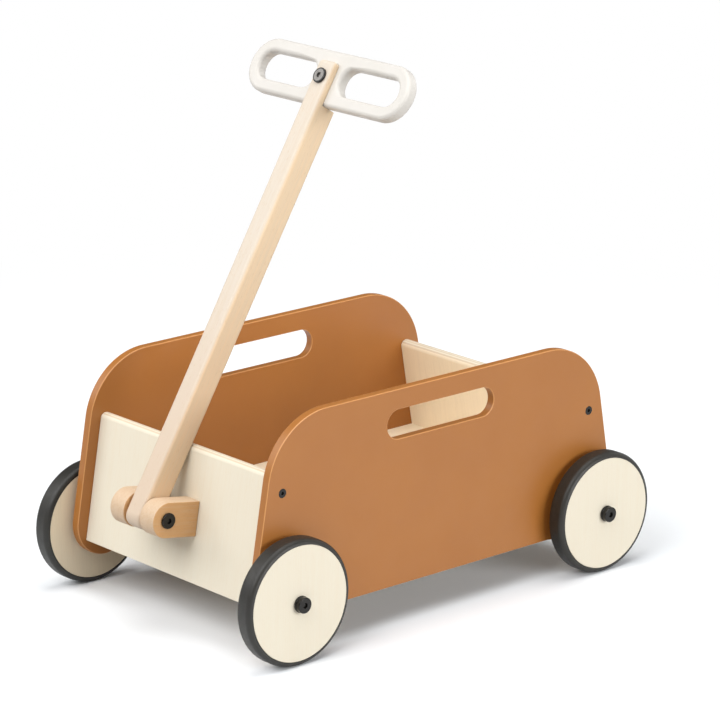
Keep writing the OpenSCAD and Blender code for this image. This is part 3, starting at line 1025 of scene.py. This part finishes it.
@dataclass
class SidePanels:
    """The two painted side panels, with their hand slots."""

    corner_r: float = 70.0
    lobe_run: float = 53.0
    slot_len: float = 133.0
    slot_h: float = 28.0
    slot_down: float = 33.7
    arris: float = 1.1
    arris_faces: int = 4
    bolt_hole: float = 3.1
    arc_steps: int = 28
    slot_steps: int = 20

    def build(self) -> None:
        """Models the right panel, copies it to the left and paints both."""
        panel = self.board()
        other = copied(panel, "painted_side_left", mirror=MIRROR_X)
        paint = PAINT.material()
        for piece, side in ((panel, RIGHT), (other, LEFT)):
            hand_over(piece, Body.CHASSIS.value, Slot.PAINT, paint, f"side_panel_{SIDE_NAMES[side]}")

    def board(self) -> Piece:
        """Models the right panel.

        Returns:
            The panel, with its slot, bolt holes and countersinks.
        """
        lay = LAYOUT
        pen = Pen("painted_side_right", side_view(lay.side_in))
        self.outline(pen)
        panel = pen.board(lay.side_t)
        soften(panel, self.arris, self.arris_faces)
        slot = Pen("slot_cutter", side_view(lay.side_in - CUT))
        slot.slot((0.0, lay.side_top - self.slot_down), self.slot_len, self.slot_h, self.slot_steps)
        cut_out(panel, slot.board(lay.side_t + 2 * CUT))
        round_edges(panel, self.arris, self.arris_faces, self.at_slot_rim)
        for end in ENDS:
            screw_hole(panel, across(RIGHT, end, lay.screw), lay.side_in, lay.side_out)
            bore(panel, across(RIGHT, end, lay.axle), lay.side_in - CUT, lay.side_out + CUT, self.bolt_hole)
        return panel

    def at_slot_rim(self, a: Vector, b: Vector) -> bool:
        """Whether an edge is part of the hand slot's rim on either face.

        Args:
            a: The edge's one end, in metres.
            b: Its other end.

        Returns:
            Whether it is.
        """
        lay = LAYOUT
        on_face = abs(a.x - b.x) < MERGE and any(abs(a.x / MM - x) < NEAR for x in (lay.side_in, lay.side_out))
        return on_face and all(
            abs(point.y / MM - lay.middle) < self.slot_len / 2 + NEAR
            and abs(point.z / MM - lay.side_top + self.slot_down) < self.slot_h / 2 + NEAR
            for point in (a, b)
        )

    def outline(self, pen: Pen) -> None:
        """Draws the panel's outer edge, from the front end of its level bottom edge.

        Args:
            pen: The pen to draw with.
        """
        lay = LAYOUT
        steps = self.arc_steps
        lobe = (lay.axle_y, lay.lobe_z)
        ramp = (lay.axle_y - self.lobe_run, lay.side_z)
        fall = (ramp[0] - lobe[0], ramp[1] - lobe[1])
        touch = math.atan2(fall[1], fall[0]) + math.acos(lay.lobe_r / math.hypot(*fall))
        lobe_turn = lay.slope - math.degrees(touch)
        corner_z = lay.side_top - self.corner_r
        corner = (lay.edge_y(corner_z) - self.corner_r / lay.out[0], corner_z)
        corner_turn = 90.0 - lay.slope
        pen.start((-ramp[0], ramp[1])).line(ramp)
        pen.line((lobe[0] + lay.lobe_r * math.cos(touch), lobe[1] + lay.lobe_r * math.sin(touch)))
        pen.arc(lobe, lobe_turn, steps)
        pen.line((corner[0] + self.corner_r * lay.out[0], corner[1] + self.corner_r * lay.out[1]))
        pen.arc(corner, corner_turn, steps)
        pen.line((-corner[0], lay.side_top))
        pen.arc((-corner[0], corner[1]), corner_turn, steps)
        pen.line((-lobe[0] - lay.lobe_r * lay.out[0], lobe[1] + lay.lobe_r * lay.out[1]))
        pen.arc((-lobe[0], lobe[1]), lobe_turn, steps)
        pen.close()


@dataclass
class EndPanels:
    """The sloped plywood panels at the front and the rear."""

    arris: float = 0.7
    arris_faces: int = 2
    round_steps: int = 8
    screw_gap: float = 18.0
    screw_x: float = 22.0

    def build(self) -> None:
        """Models the rear panel, copies it to the front and drills that for the brackets' screws."""
        lay = LAYOUT
        rear = self.board()
        shift = (0.0, 2 * lay.middle, 0.0)
        front = copied(rear, "plywood_front", shift, MIRROR_Y)
        for side in SIDES:
            for up in (lay.pivot_up - self.screw_gap / 2, lay.pivot_up + self.screw_gap / 2):
                screw_hole(front, self.normal_line(side * self.screw_x, up), 0.0, lay.end_t)
        for piece, end in ((front, FRONT), (rear, REAR)):
            middle = lay.end_point(-lay.end_t / 2, lay.end_h / 2)
            place = Place((0.0, lay.middle + end * middle[0], middle[1]), (end * lay.slope, 0.0, 0.0))
            # The inner face gets the painted warm bounce light.
            material = BIRCH.material(place, Axis.Y, lay.end_t, -end)
            hand_over(piece, Body.CHASSIS.value, Slot.PLYWOOD, material, f"{END_NAMES[end]}_panel")

    def board(self) -> Piece:
        """Models the rear panel with its rounded top edge.

        Returns:
            The panel.
        """
        lay = LAYOUT
        width = lay.box_w - 2 * lay.fix_gap
        r, steps = lay.end_round, self.round_steps
        pen = Pen("plywood_rear", side_view(-width / 2))
        pen.start(lay.end_point(-lay.end_t, 0.0)).line(lay.end_point(0.0, 0.0), lay.end_point(0.0, lay.end_h - r))
        pen.arc(lay.end_point(-r, lay.end_h - r), 90, steps).line(lay.end_point(r - lay.end_t, lay.end_h))
        pen.arc(lay.end_point(r - lay.end_t, lay.end_h - r), 90, steps).close()
        board = pen.board(width)
        soften(board, self.arris, self.arris_faces)
        return board

    def normal_line(self, x: float, up: float) -> Plane:
        """A line through the front panel, with depth from its outer face to the right.

        Args:
            x: The line's place across the panel.
            up: Its distance from the panel's bottom edge.

        Returns:
            The plane that a hole on this line is drawn in.
        """
        lay = LAYOUT
        y, z = lay.end_point(0.0, up)
        inward = (0.0, lay.out[0], -lay.out[1])
        return Plane((x, lay.middle - y, z), inward, X_WAY)


@dataclass
class Wheels:
    """Four plywood discs with rubber tyres."""

    inner_x: float = 141.45
    width: float = 19.5
    disc_r: float = 54.85
    bore_r: float = 6.13
    tyre_in: float = 55.0
    shoulder: float = 5.5
    rib_r: float = 51.85
    rib_w: float = 8.0
    gap: float = 0.15
    disc_arris: float = 0.7
    arris_faces: int = 2
    shoulder_steps: int = 9
    steps: int = 112

    def build(self) -> None:
        """Models one wheel and copies it to the other corners."""
        lay = LAYOUT
        line = across(RIGHT, FRONT, lay.axle)
        rubber = RUBBER.material()
        first = self.disc(line), self.tyre(line)
        corners = [(side, end) for end in ENDS for side in SIDES]
        sets = [first] + [
            tuple(self.copy(piece, kind, side, end) for piece, kind in zip(first, ("wheel_board", "rubber_tyre")))
            for side, end in corners[1:]
        ]
        for (disc, tyre), (side, end) in zip(sets, corners):
            corner = f"{END_NAMES[end]}_{SIDE_NAMES[side]}"
            place = Place((side * (self.inner_x + self.width / 2), lay.middle + end * lay.axle_y, lay.axle_z))
            # The disc's inner face gets the painted warm bounce light.
            birch = BIRCH.material(place, Axis.X, self.width, -side)
            hand_over(disc, f"wheel_{corner}", Slot.PLYWOOD, birch, f"wheel_disc_{corner}")
            hand_over(tyre, f"wheel_{corner}", Slot.RUBBER, rubber, f"tyre_{corner}")

    def copy(self, piece: Piece, kind: str, side: int, end: int) -> Piece:
        """Copies a piece of the front right wheel to another corner."""
        shift = (0.0, 2 * LAYOUT.axle_y if end == REAR else 0.0, 0.0)
        return copied(piece, f"{kind}_{END_NAMES[end]}_{SIDE_NAMES[side]}", shift, (float(side), 1.0, 1.0))

    def disc(self, line: Plane) -> Piece:
        """Models a disc with its bore and the groove for its tyre.

        Args:
            line: The axle's line.

        Returns:
            The disc.
        """
        x, w = self.inner_x, self.width
        groove = self.rib_r - self.gap
        low = x + (w - self.rib_w) / 2 - self.gap
        high = x + (w + self.rib_w) / 2 + self.gap
        pen = Pen("wheel_board_front_right", line).start((x, self.bore_r))
        pen.line((x + w, self.bore_r), (x + w, self.disc_r), (high, self.disc_r), (high, groove))
        pen.line((low, groove), (low, self.disc_r), (x, self.disc_r)).close()
        disc = pen.turned(self.steps)
        soften(disc, self.disc_arris, self.arris_faces)
        return disc

    def tyre(self, line: Plane) -> Piece:
        """Models a tyre with round shoulders and the rib that holds it.

        Args:
            line: The axle's line.

        Returns:
            The tyre.
        """
        x, w, r, s = self.inner_x, self.width, LAYOUT.tyre_r, self.shoulder
        steps = self.shoulder_steps
        low = x + (w - self.rib_w) / 2
        high = x + (w + self.rib_w) / 2
        rise = math.asin((self.tyre_in - r + s) / s)
        flank = s * (1 - math.cos(rise))
        turn = 90 - math.degrees(rise)
        pen = Pen("rubber_tyre_front_right", line).start((x + flank, self.tyre_in)).line((low, self.tyre_in))
        pen.line((low, self.rib_r), (high, self.rib_r), (high, self.tyre_in), (x + w - flank, self.tyre_in))
        pen.arc((x + w - s, r - s), turn, steps).line((x + s, r)).arc((x + s, r - s), turn, steps).close()
        return pen.turned(self.steps)


@dataclass
class Fasteners:
    """The bolts, washers and screws that show."""

    head_r: float = 7.5
    rim: float = 0.7
    rim_steps: int = 5
    foot: float = 0.5
    socket_af: float = 5.0
    socket_depth: float = 1.7
    washer_x: float = 161.25
    washer_r: float = 7.9
    washer_bore: float = 4.05
    washer_arris: float = 0.7
    head_x: float = 163.55
    axle_head_h: float = 4.3
    axle_r: float = 4.0
    thread_r: float = 3.0
    thread_len: float = 30.0
    flat_head_h: float = 2.4
    sleeve_r: float = 4.0
    sleeve_bolt_len: float = 18.0
    bracket_out: float = 32.0
    screw_head_r: float = 4.5
    screw_head_h: float = 2.6
    screw_r: float = 2.0
    screw_len: float = 42.0
    screw_point_r: float = 0.5
    screw_land: float = 0.2
    screw_bevel: float = 0.15
    screw_af: float = 3.0
    screw_depth: float = 1.4
    steps: int = 48

    @cached_property
    def black(self) -> bpy.types.Material:
        """The finish that all of them share."""
        return BLACK_STEEL.material()

    def build(self) -> None:
        """Models each kind once and copies what repeats."""
        lay = LAYOUT
        axle = across(RIGHT, FRONT, lay.axle)
        self.four("hub_bolts", self.axle_bolt(axle), lay.axle_y, "axle_bolts")
        self.four("hub_collars", self.axle_washer(axle), lay.axle_y, "axle_washers")
        self.four("side_screws", self.screw(across(RIGHT, FRONT, lay.screw)), lay.screw[0], "panel_screws")
        seat = self.bracket_out + lay.fix_gap
        right, left = (across(side, FRONT, lay.pivot) for side in SIDES)
        bolt = self.flat_bolt("handle_pivot_bolt", right, seat)
        nut = self.sleeve_nut("handle_pivot_nut", left, seat, 2 * self.bracket_out + lay.fix_gap)
        for piece, node in ((bolt, "pivot_bolt"), (nut, "pivot_sleeve_nut")):
            hand_over(piece, Body.CHASSIS.value, Slot.BLACK_STEEL, self.black, node)

    def four(self, name: str, first: Piece, y: float, node: str) -> None:
        """Copies a fastener from the front right corner to the others and joins the four.

        Args:
            name: Name of the joined piece.
            first: The fastener at the front right.
            y: Its distance from the middle of the wheelbase.
            node: The node that the four stand for.
        """
        rear = (0.0, 2 * y, 0.0)
        pieces = [first] + [
            copied(first, name, shift, mirror)
            for shift, mirror in ((ORIGIN, MIRROR_X), (rear, UNMIRRORED), (rear, MIRROR_X))
        ]
        hand_over(joined(name, pieces), Body.CHASSIS.value, Slot.BLACK_STEEL, self.black, node)

    def headed(self, pen: Pen, seat: float, height: float) -> Piece:
        """Draws a bolt head with a rounded rim, turns the bolt and sinks its socket.

        Args:
            pen: The pen, at the shank.
            seat: Where the head stands along the line.
            height: Height of the head.

        Returns:
            The bolt.
        """
        top = seat + height
        pen.line((seat, self.head_r - self.foot), (seat + self.foot, self.head_r), (top - self.rim, self.head_r))
        pen.arc((top - self.rim, self.head_r - self.rim), -90, self.rim_steps).line((top, 0.0))
        bolt = pen.turned(self.steps)
        socket(bolt, pen.plane, top, self.socket_af, self.socket_depth)
        return bolt

    def axle_bolt(self, line: Plane) -> Piece:
        """Models an axle bolt: thread, shoulder and socket head.

        Args:
            line: The axle's line.

        Returns:
            The bolt.
        """
        side = LAYOUT.side_out
        pen = Pen("hub_bolt", line).start((side - self.thread_len, 0.0))
        pen.line((side - self.thread_len, self.thread_r), (side, self.thread_r), (side, self.axle_r))
        pen.line((self.head_x, self.axle_r))
        return self.headed(pen, self.head_x, self.axle_head_h)

    def axle_washer(self, line: Plane) -> Piece:
        """Models the collar under an axle bolt's head.

        Args:
            line: The axle's line.

        Returns:
            The collar.
        """
        x = self.washer_x
        pen = Pen("hub_collar", line).start((x, self.washer_bore)).line((self.head_x, self.washer_bore))
        pen.line((self.head_x, self.washer_r), (x, self.washer_r)).close()
        washer = pen.turned(self.steps)
        soften(washer, self.washer_arris)
        return washer

    def screw(self, line: Plane) -> Piece:
        """Models a countersunk screw, flush with the side panel.

        Args:
            line: The screw's line.

        Returns:
            The screw.
        """
        face = LAYOUT.side_out
        point = face - self.screw_len
        pen = Pen("side_screw", line).start((point, 0.0)).line((point, self.screw_point_r))
        pen.line((point + self.screw_r, self.screw_r), (face - self.screw_head_h, self.screw_r))
        pen.line((face - self.screw_land, self.screw_head_r), (face, self.screw_head_r - self.screw_bevel))
        pen.line((face, 0.0))
        screw = pen.turned(self.steps)
        socket(screw, line, face, self.screw_af, self.screw_depth)
        return screw

    def flat_bolt(self, name: str, line: Plane, seat: float) -> Piece:
        """Models a flat-headed bolt.

        Args:
            name: Name of the piece.
            line: Its line.
            seat: Where its head stands along the line.

        Returns:
            The bolt.
        """
        pen = Pen(name, line).start((seat - self.sleeve_bolt_len, 0.0))
        pen.line((seat - self.sleeve_bolt_len, self.thread_r), (seat, self.thread_r))
        return self.headed(pen, seat, self.flat_head_h)

    def sleeve_nut(self, name: str, line: Plane, seat: float, length: float) -> Piece:
        """Models a sleeve nut.

        Args:
            name: Name of the piece.
            line: Its line.
            seat: Where its head stands along the line.
            length: Length of its sleeve.

        Returns:
            The nut.
        """
        bore = self.thread_r + LAYOUT.fix_gap
        bottom = seat - length + self.sleeve_bolt_len + 2 * LAYOUT.fix_gap
        pen = Pen(name, line).start((bottom, 0.0))
        pen.line((bottom, bore), (seat - length, bore), (seat - length, self.sleeve_r), (seat, self.sleeve_r))
        return self.headed(pen, seat, self.flat_head_h)


@dataclass
class Brackets:
    """The two beech blocks that carry the handle."""

    inner_x: float = 12.0
    width: float = 20.0
    bore_r: float = 4.05
    arris: float = 1.2
    nose_steps: int = 32

    def build(self) -> None:
        """Models the right bracket and copies it to the left."""
        lay = LAYOUT
        right = self.block()
        left = copied(right, "bracket_block_left", mirror=MIRROR_X)
        y, z = lay.end_point(lay.pivot_out / 2, lay.pivot_up)
        for piece, side in ((right, RIGHT), (left, LEFT)):
            place = Place((side * (self.inner_x + self.width / 2), lay.middle - y, z), (90.0 - lay.slope, 0.0, 0.0))
            beech = BEECH.material(place)
            hand_over(piece, Body.CHASSIS.value, Slot.BEECH, beech, f"bracket_{SIDE_NAMES[side]}")

    def block(self) -> Piece:
        """Models the right bracket: a block with a round nose, bored for the pivot.

        Returns:
            The bracket.
        """
        lay = LAYOUT
        r = lay.bracket_r

        def point(out: float, up: float) -> Pair:
            """A point of the front panel's side view."""
            y, z = lay.end_point(out, up)
            return -y, z

        pen = Pen("bracket_block_right", side_view(self.inner_x))
        pen.start(point(lay.fix_gap, lay.pivot_up + r)).line(point(lay.pivot_out, lay.pivot_up + r))
        pen.arc(point(lay.pivot_out, lay.pivot_up), 180, self.nose_steps)
        pen.line(point(lay.fix_gap, lay.pivot_up - r)).close()
        block = pen.board(self.width)
        soften(block, self.arris)
        end = self.inner_x + self.width
        bore(block, across(RIGHT, FRONT, lay.pivot), self.inner_x - CUT, end + CUT, self.bore_r)
        return block


@dataclass
class Handle:
    """The swinging bar with its double-loop grip."""

    bar_w: float = 22.0
    edge: float = 4.0
    edge_faces: int = 6
    arris: float = 0.6
    arris_faces: int = 2
    tail_len: float = 16.0
    tail_round: float = 11.0
    tail_steps: int = 10
    bar_len: float = 408.0
    tongue_t: float = 7.5
    tongue_len: float = 42.0
    tongue_round: float = 4.0
    pivot_bore: float = 4.08
    bolt_bore: float = 4.05
    grip_w: float = 221.0
    grip_h: float = 54.0
    grip_t: float = 13.5
    grip_rail: float = 13.0
    grip_web: float = 36.0
    grip_edge: float = 4.0
    end_steps: int = 28
    loop_steps: int = 18
    bolt_drop: float = 1.5

    @property
    def grip_front(self) -> float:
        """The grip's front face, counted backwards from the pivot."""
        return LAYOUT.bar_front + self.tongue_t + LAYOUT.fix_gap

    @property
    def grip_mid(self) -> float:
        """Distance of the grip's middle from the pivot, up the bar."""
        return self.bar_len + LAYOUT.fix_gap + self.grip_h / 2

    def build(self, fasteners: Fasteners) -> None:
        """Models the bar, the grip and the bolt between them.

        Args:
            fasteners: The bolts' shared sizes.
        """
        turn = (-math.degrees(LAYOUT.lean), 0.0, 0.0)
        wood = BAR_WOOD.material(Place(tuple(pivot_place()), turn))
        hand_over(self.bar(), Body.HANDLE.value, Slot.BAR, wood, "handle_bar")
        hand_over(self.grip(), Body.HANDLE.value, Slot.IVORY, IVORY.material(), "grip")
        fix = LAYOUT.fix_gap
        front = -LAYOUT.bar_front
        back = self.grip_front + self.grip_t
        bolt = fasteners.flat_bolt("grip_front_bolt", self.bolt_line(1.0), front + fix)
        nut = fasteners.sleeve_nut("grip_back_nut", self.bolt_line(-1.0), back + fix, back + front + fix)
        # Painted reflection of the key softbox on the grip bolt's face.
        steel = GLINT_PAINTED_STEEL.material(Place(self.bolt_line(1.0).origin, turn))
        hand_over(bolt, Body.HANDLE.value, Slot.BLACK_STEEL, steel, "grip_bolt")
        hand_over(nut, Body.HANDLE.value, Slot.BLACK_STEEL, fasteners.black, "grip_sleeve_nut")

    def bolt_line(self, way: float) -> Plane:
        """The line of the grip's bolt, out of the bar's front for 1 and out of its back for -1."""
        middle = pivot_place() + Vector(bar_up()) * (self.grip_mid - self.bolt_drop)
        return Plane(tuple(middle), tuple(-way * Vector(bar_y())), X_WAY)

    def bar(self) -> Piece:
        """Models the bar, with a round tail and a tongue in front of the grip.

        Returns:
            The bar.
        """
        front, back = LAYOUT.bar_front, LAYOUT.bar_back
        tail = -self.tail_len
        bend = self.tail_round
        top = self.bar_len + self.tongue_len
        notch = front + self.tongue_t
        plane = Plane(tuple(pivot_place() - Vector((self.bar_w / 2, 0.0, 0.0))), bar_y(), bar_up())
        pen = Pen("handle_pole", plane).start((front + bend, tail)).line((back - bend, tail))
        pen.arc((back - bend, tail + bend), 90, self.tail_steps).line((back, self.bar_len))
        pen.line((notch, self.bar_len), (notch, top), (front, top))
        pen.line((front, tail + bend)).arc((front + bend, tail + bend), 90, self.tail_steps)
        bar = pen.board(self.bar_w)
        round_edges(bar, self.tongue_round, self.edge_faces, self.at_top_corner)
        round_edges(bar, self.edge, self.edge_faces, self.at_long_edge)
        soften(bar, self.arris, self.arris_faces)
        bore(bar, across(RIGHT, FRONT, LAYOUT.pivot), -self.bar_w, self.bar_w, self.pivot_bore)
        bore(bar, self.bolt_line(1.0), -self.bar_w, self.bar_w, self.bolt_bore)
        return bar

    def on_bar(self, point: Vector) -> Triple:
        """A point's place on the bar: across it, behind the pivot and up from the pivot, in millimetres."""
        arm = point / MM - pivot_place()
        return arm.x, arm.dot(Vector(bar_y())), arm.dot(Vector(bar_up()))

    def at_top_corner(self, a: Vector, b: Vector) -> bool:
        """Whether an edge is one of the tongue's top corners.

        Args:
            a: The edge's one end, in metres.
            b: Its other end.

        Returns:
            Whether it is.
        """
        top = self.bar_len + self.tongue_len
        level = all(self.on_bar(point)[2] > top - NEAR for point in (a, b))
        return level and abs(a.x - b.x) < MERGE

    def at_long_edge(self, a: Vector, b: Vector) -> bool:
        """Whether an edge runs round the bar's front, tail or back, and not round its notch.

        Args:
            a: The edge's one end, in metres.
            b: Its other end.

        Returns:
            Whether it is.
        """
        (xa, va, ua), (xb, vb, ub) = self.on_bar(a), self.on_bar(b)
        along_side = abs(xa - xb) < NEAR and abs(xa) > self.bar_w / 2 - NEAR
        at_front = max(va, vb) < LAYOUT.bar_front + NEAR
        at_top = min(ua, ub) > self.bar_len + self.tongue_len - self.tongue_round - NEAR
        below_notch = max(ua, ub) < self.bar_len + NEAR and min(ua, ub) < self.bar_len - NEAR
        return at_front and (along_side or at_top) or along_side and below_notch

    def grip(self) -> Piece:
        """Models the grip: a slab with round ends and a loop for each hand.

        Returns:
            The grip.
        """
        back = self.grip_front + self.grip_t
        middle = pivot_place() + Vector(bar_up()) * self.grip_mid + Vector(bar_y()) * back
        pen = Pen("double_loop_grip", Plane(tuple(middle), X_WAY, bar_up()))
        loop_h = self.grip_h - 2 * self.grip_rail
        loop_len = self.grip_w / 2 - self.grip_rail - self.grip_web / 2
        run, half = (self.grip_w - self.grip_h) / 2, self.grip_h / 2
        pen.start((-self.bar_w, -half)).line((run, -half)).arc((run, 0.0), 180, self.end_steps)
        pen.line((-self.bar_w, half)).close()
        pen.slot(((self.grip_web + loop_len) / 2, 0.0), loop_len, loop_h, self.loop_steps)
        grip = pen.board(self.grip_t, holes=True)
        soften(grip, self.grip_edge, self.edge_faces)
        mirrored(grip)
        bore(grip, self.bolt_line(1.0), -self.bar_w, self.bar_w, self.bolt_bore)
        return grip


@dataclass
class PlainNodes:
    """The pieces that keep the shape they have: the floor, the axle beams and what is hidden."""

    floor_mid: float = 76.0
    floor_t: float = 12.0

    def dress(self) -> None:
        """Gives each shown node the finish of its slot."""
        lengthwise = (90.0, 0.0, 0.0)
        crosswise = (0.0, 90.0, 0.0)
        floor = Place((0.0, LAYOUT.middle, self.floor_mid), lengthwise)
        finishes = {
            Slot.BEECH.value: BEECH.material(Place(turn=crosswise)),
            Slot.PLATED_STEEL.value: PLATED_STEEL.material(),
            Slot.BLACK_PLASTIC.value: BLACK_PLASTIC.material(),
            Slot.NYLON.value: NYLON.material(),
            # The floor's top gets the painted warm bounce light.
            Slot.PLYWOOD.value: BIRCH.material(floor, Axis.Y, self.floor_t, 1),
        }
        for row in frame["record"]["subparts"]:
            node = frame["nodes"][row["node"]]
            if node.hide_render:
                continue
            node.data.materials.clear()
            node.data.materials.append(finishes[row["material_slot"]])
            log.info("%s keeps its shape and gets %s", row["node"], row["material_slot"])


@dataclass(frozen=True)
class Softbox:
    """A large soft lamp that points at the wagon."""

    name: str
    direction: Triple
    distance: float
    size: Pair
    power: float

    def add(self, target: Vector) -> None:
        """Hangs the lamp.

        Args:
            target: What it points at, in metres.
        """
        lamp = bpy.data.lights.new(self.name, "AREA")
        lamp.shape = "RECTANGLE"
        lamp.size, lamp.size_y = self.size
        lamp.energy = self.power
        holder = bpy.data.objects.new(self.name, lamp)
        bpy.context.scene.collection.objects.link(holder)
        way = Vector(self.direction).normalized()
        holder.location = target + way * self.distance
        holder.rotation_euler = way.to_track_quat("Z", "Y").to_euler()


@dataclass
class Studio:
    """The camera, the white floor and the soft light."""

    azimuth: float = 48.857
    elevation: float = 16.261
    distance: float = 3.42226
    aim: Triple = (0.02123, LAYOUT.middle * MM, 0.22023)
    lens: float = 180.74
    sensor: float = 36.0
    floor_size: float = 40.0
    clear_radius: float = 0.75
    fade: float = 0.5
    ambient: float = 0.15
    floor_white: Triple = (0.94, 0.965, 0.99)
    floor_glow: float = 0.01
    floor_bounce: float = 0.48
    lamps: tuple[Softbox, ...] = (
        Softbox("key_softbox", (-0.62, -0.6, 0.52), 3.0, (1.75, 1.75), 29.0),
        Softbox("top_softbox", (0.1, 0.05, 1.0), 3.0, (2.6, 2.6), 57.0),
        Softbox("side_softbox", (0.95, 0.19, 0.22), 3.6, (2.4, 1.3), 85.0),
        Softbox("front_softbox", (0.1, -0.74, 0.68), 3.4, (2.6, 2.1), 77.0),
        Softbox("back_softbox", (0.05, 0.95, 0.33), 3.2, (1.9, 1.9), 15.0),
    )

    def build(self) -> None:
        """Sets the camera, the floor, the backdrop and the lamps."""
        self.camera()
        self.floor()
        self.backdrop()
        for lamp in self.lamps:
            lamp.add(Vector(self.aim))
        bpy.context.scene.view_settings.view_transform = "Standard"

    def camera(self) -> None:
        """Puts the camera where the photograph was taken from."""
        azimuth, elevation = math.radians(self.azimuth), math.radians(self.elevation)
        level = math.cos(elevation)
        back = Vector((math.sin(azimuth) * level, -math.cos(azimuth) * level, math.sin(elevation)))
        lens = bpy.data.cameras.new("camera")
        lens.sensor_width = self.sensor
        lens.lens = self.lens
        camera = bpy.data.objects.new("camera", lens)
        camera.location = Vector(self.aim) + back * self.distance
        camera.rotation_euler = (math.pi / 2 - elevation, 0.0, azimuth)
        bpy.context.scene.collection.objects.link(camera)
        bpy.context.scene.camera = camera

    def rays(self, nodes: Nodes, *kinds: str) -> Socket:
        """Whether a ray is of one of these kinds.

        Args:
            nodes: The nodes to add this to.
            kinds: Names of the kinds.

        Returns:
            1 for such rays and 0 for others.
        """
        path = nodes.add("ShaderNodeLightPath", {})
        total, *others = (path.outputs[f"Is {kind} Ray"] for kind in kinds)
        for other in others:
            total = nodes.math("MAXIMUM", total, other)
        return total

    def floor(self) -> None:
        """Lays a white floor that keeps the wagon's shadow near it and is plain white further off."""
        pick()
        bpy.ops.mesh.primitive_plane_add(size=self.floor_size)
        floor = bpy.context.object
        floor.name = "studio_floor"
        material = bpy.data.materials.new("studio_white")
        nodes = Nodes(material)
        nodes.tree.nodes.clear()
        place = nodes.add("ShaderNodeTexCoord", {}).outputs["Object"]
        far = nodes.add("ShaderNodeVectorMath", {0: place}, operation="LENGTH").outputs["Value"]
        edge = nodes.span(far, (self.clear_radius, self.clear_radius + self.fade))
        diffuse = nodes.add("ShaderNodeBsdfDiffuse", {"Color": (*self.floor_white, 1.0)}).outputs[0]
        glow = nodes.add("ShaderNodeEmission", {"Strength": self.floor_glow}).outputs[0]
        lit = nodes.add("ShaderNodeAddShader", {0: diffuse, 1: glow}).outputs[0]
        white = nodes.add("ShaderNodeEmission", {}).outputs[0]
        near = nodes.add("ShaderNodeMixShader", {0: edge, 1: lit, 2: white}).outputs[0]
        bounce = nodes.add("ShaderNodeBsdfDiffuse", {"Color": (self.floor_bounce,) * 3 + (1.0,)}).outputs[0]
        rays = self.rays(nodes, "Camera", "Transmission", "Glossy")
        seen = nodes.add("ShaderNodeMixShader", {0: rays, 1: bounce, 2: near}).outputs[0]
        nodes.add("ShaderNodeOutputMaterial", {"Surface": seen})
        floor.data.materials.append(material)

    def backdrop(self) -> None:
        """Makes the surroundings white to look at and a soft light on the wagon."""
        world = bpy.data.worlds.new("studio_white")
        bpy.context.scene.world = world
        nodes = Nodes(world)
        nodes.tree.nodes.clear()
        light, white = (
            nodes.add("ShaderNodeBackground", {"Color": (1.0, 1.0, 1.0, 1.0), "Strength": strength}).outputs[0]
            for strength in (self.ambient, 1.0)
        )
        rays = self.rays(nodes, "Camera", "Transmission")
        seen = nodes.add("ShaderNodeMixShader", {0: rays, 1: light, 2: white}).outputs[0]
        nodes.add("ShaderNodeOutputWorld", {"Surface": seen})


def main() -> None:
    """Builds the wagon's pieces and the studio, in order."""
    logging.basicConfig(level=logging.INFO, format="%(name)s: %(message)s")
    Studio().build()
    fasteners = Fasteners()
    SidePanels().build()
    EndPanels().build()
    Wheels().build()
    fasteners.build()
    Brackets().build()
    Handle().build(fasteners)
    PlainNodes().dress()


if __name__ == "__main__":
    main()
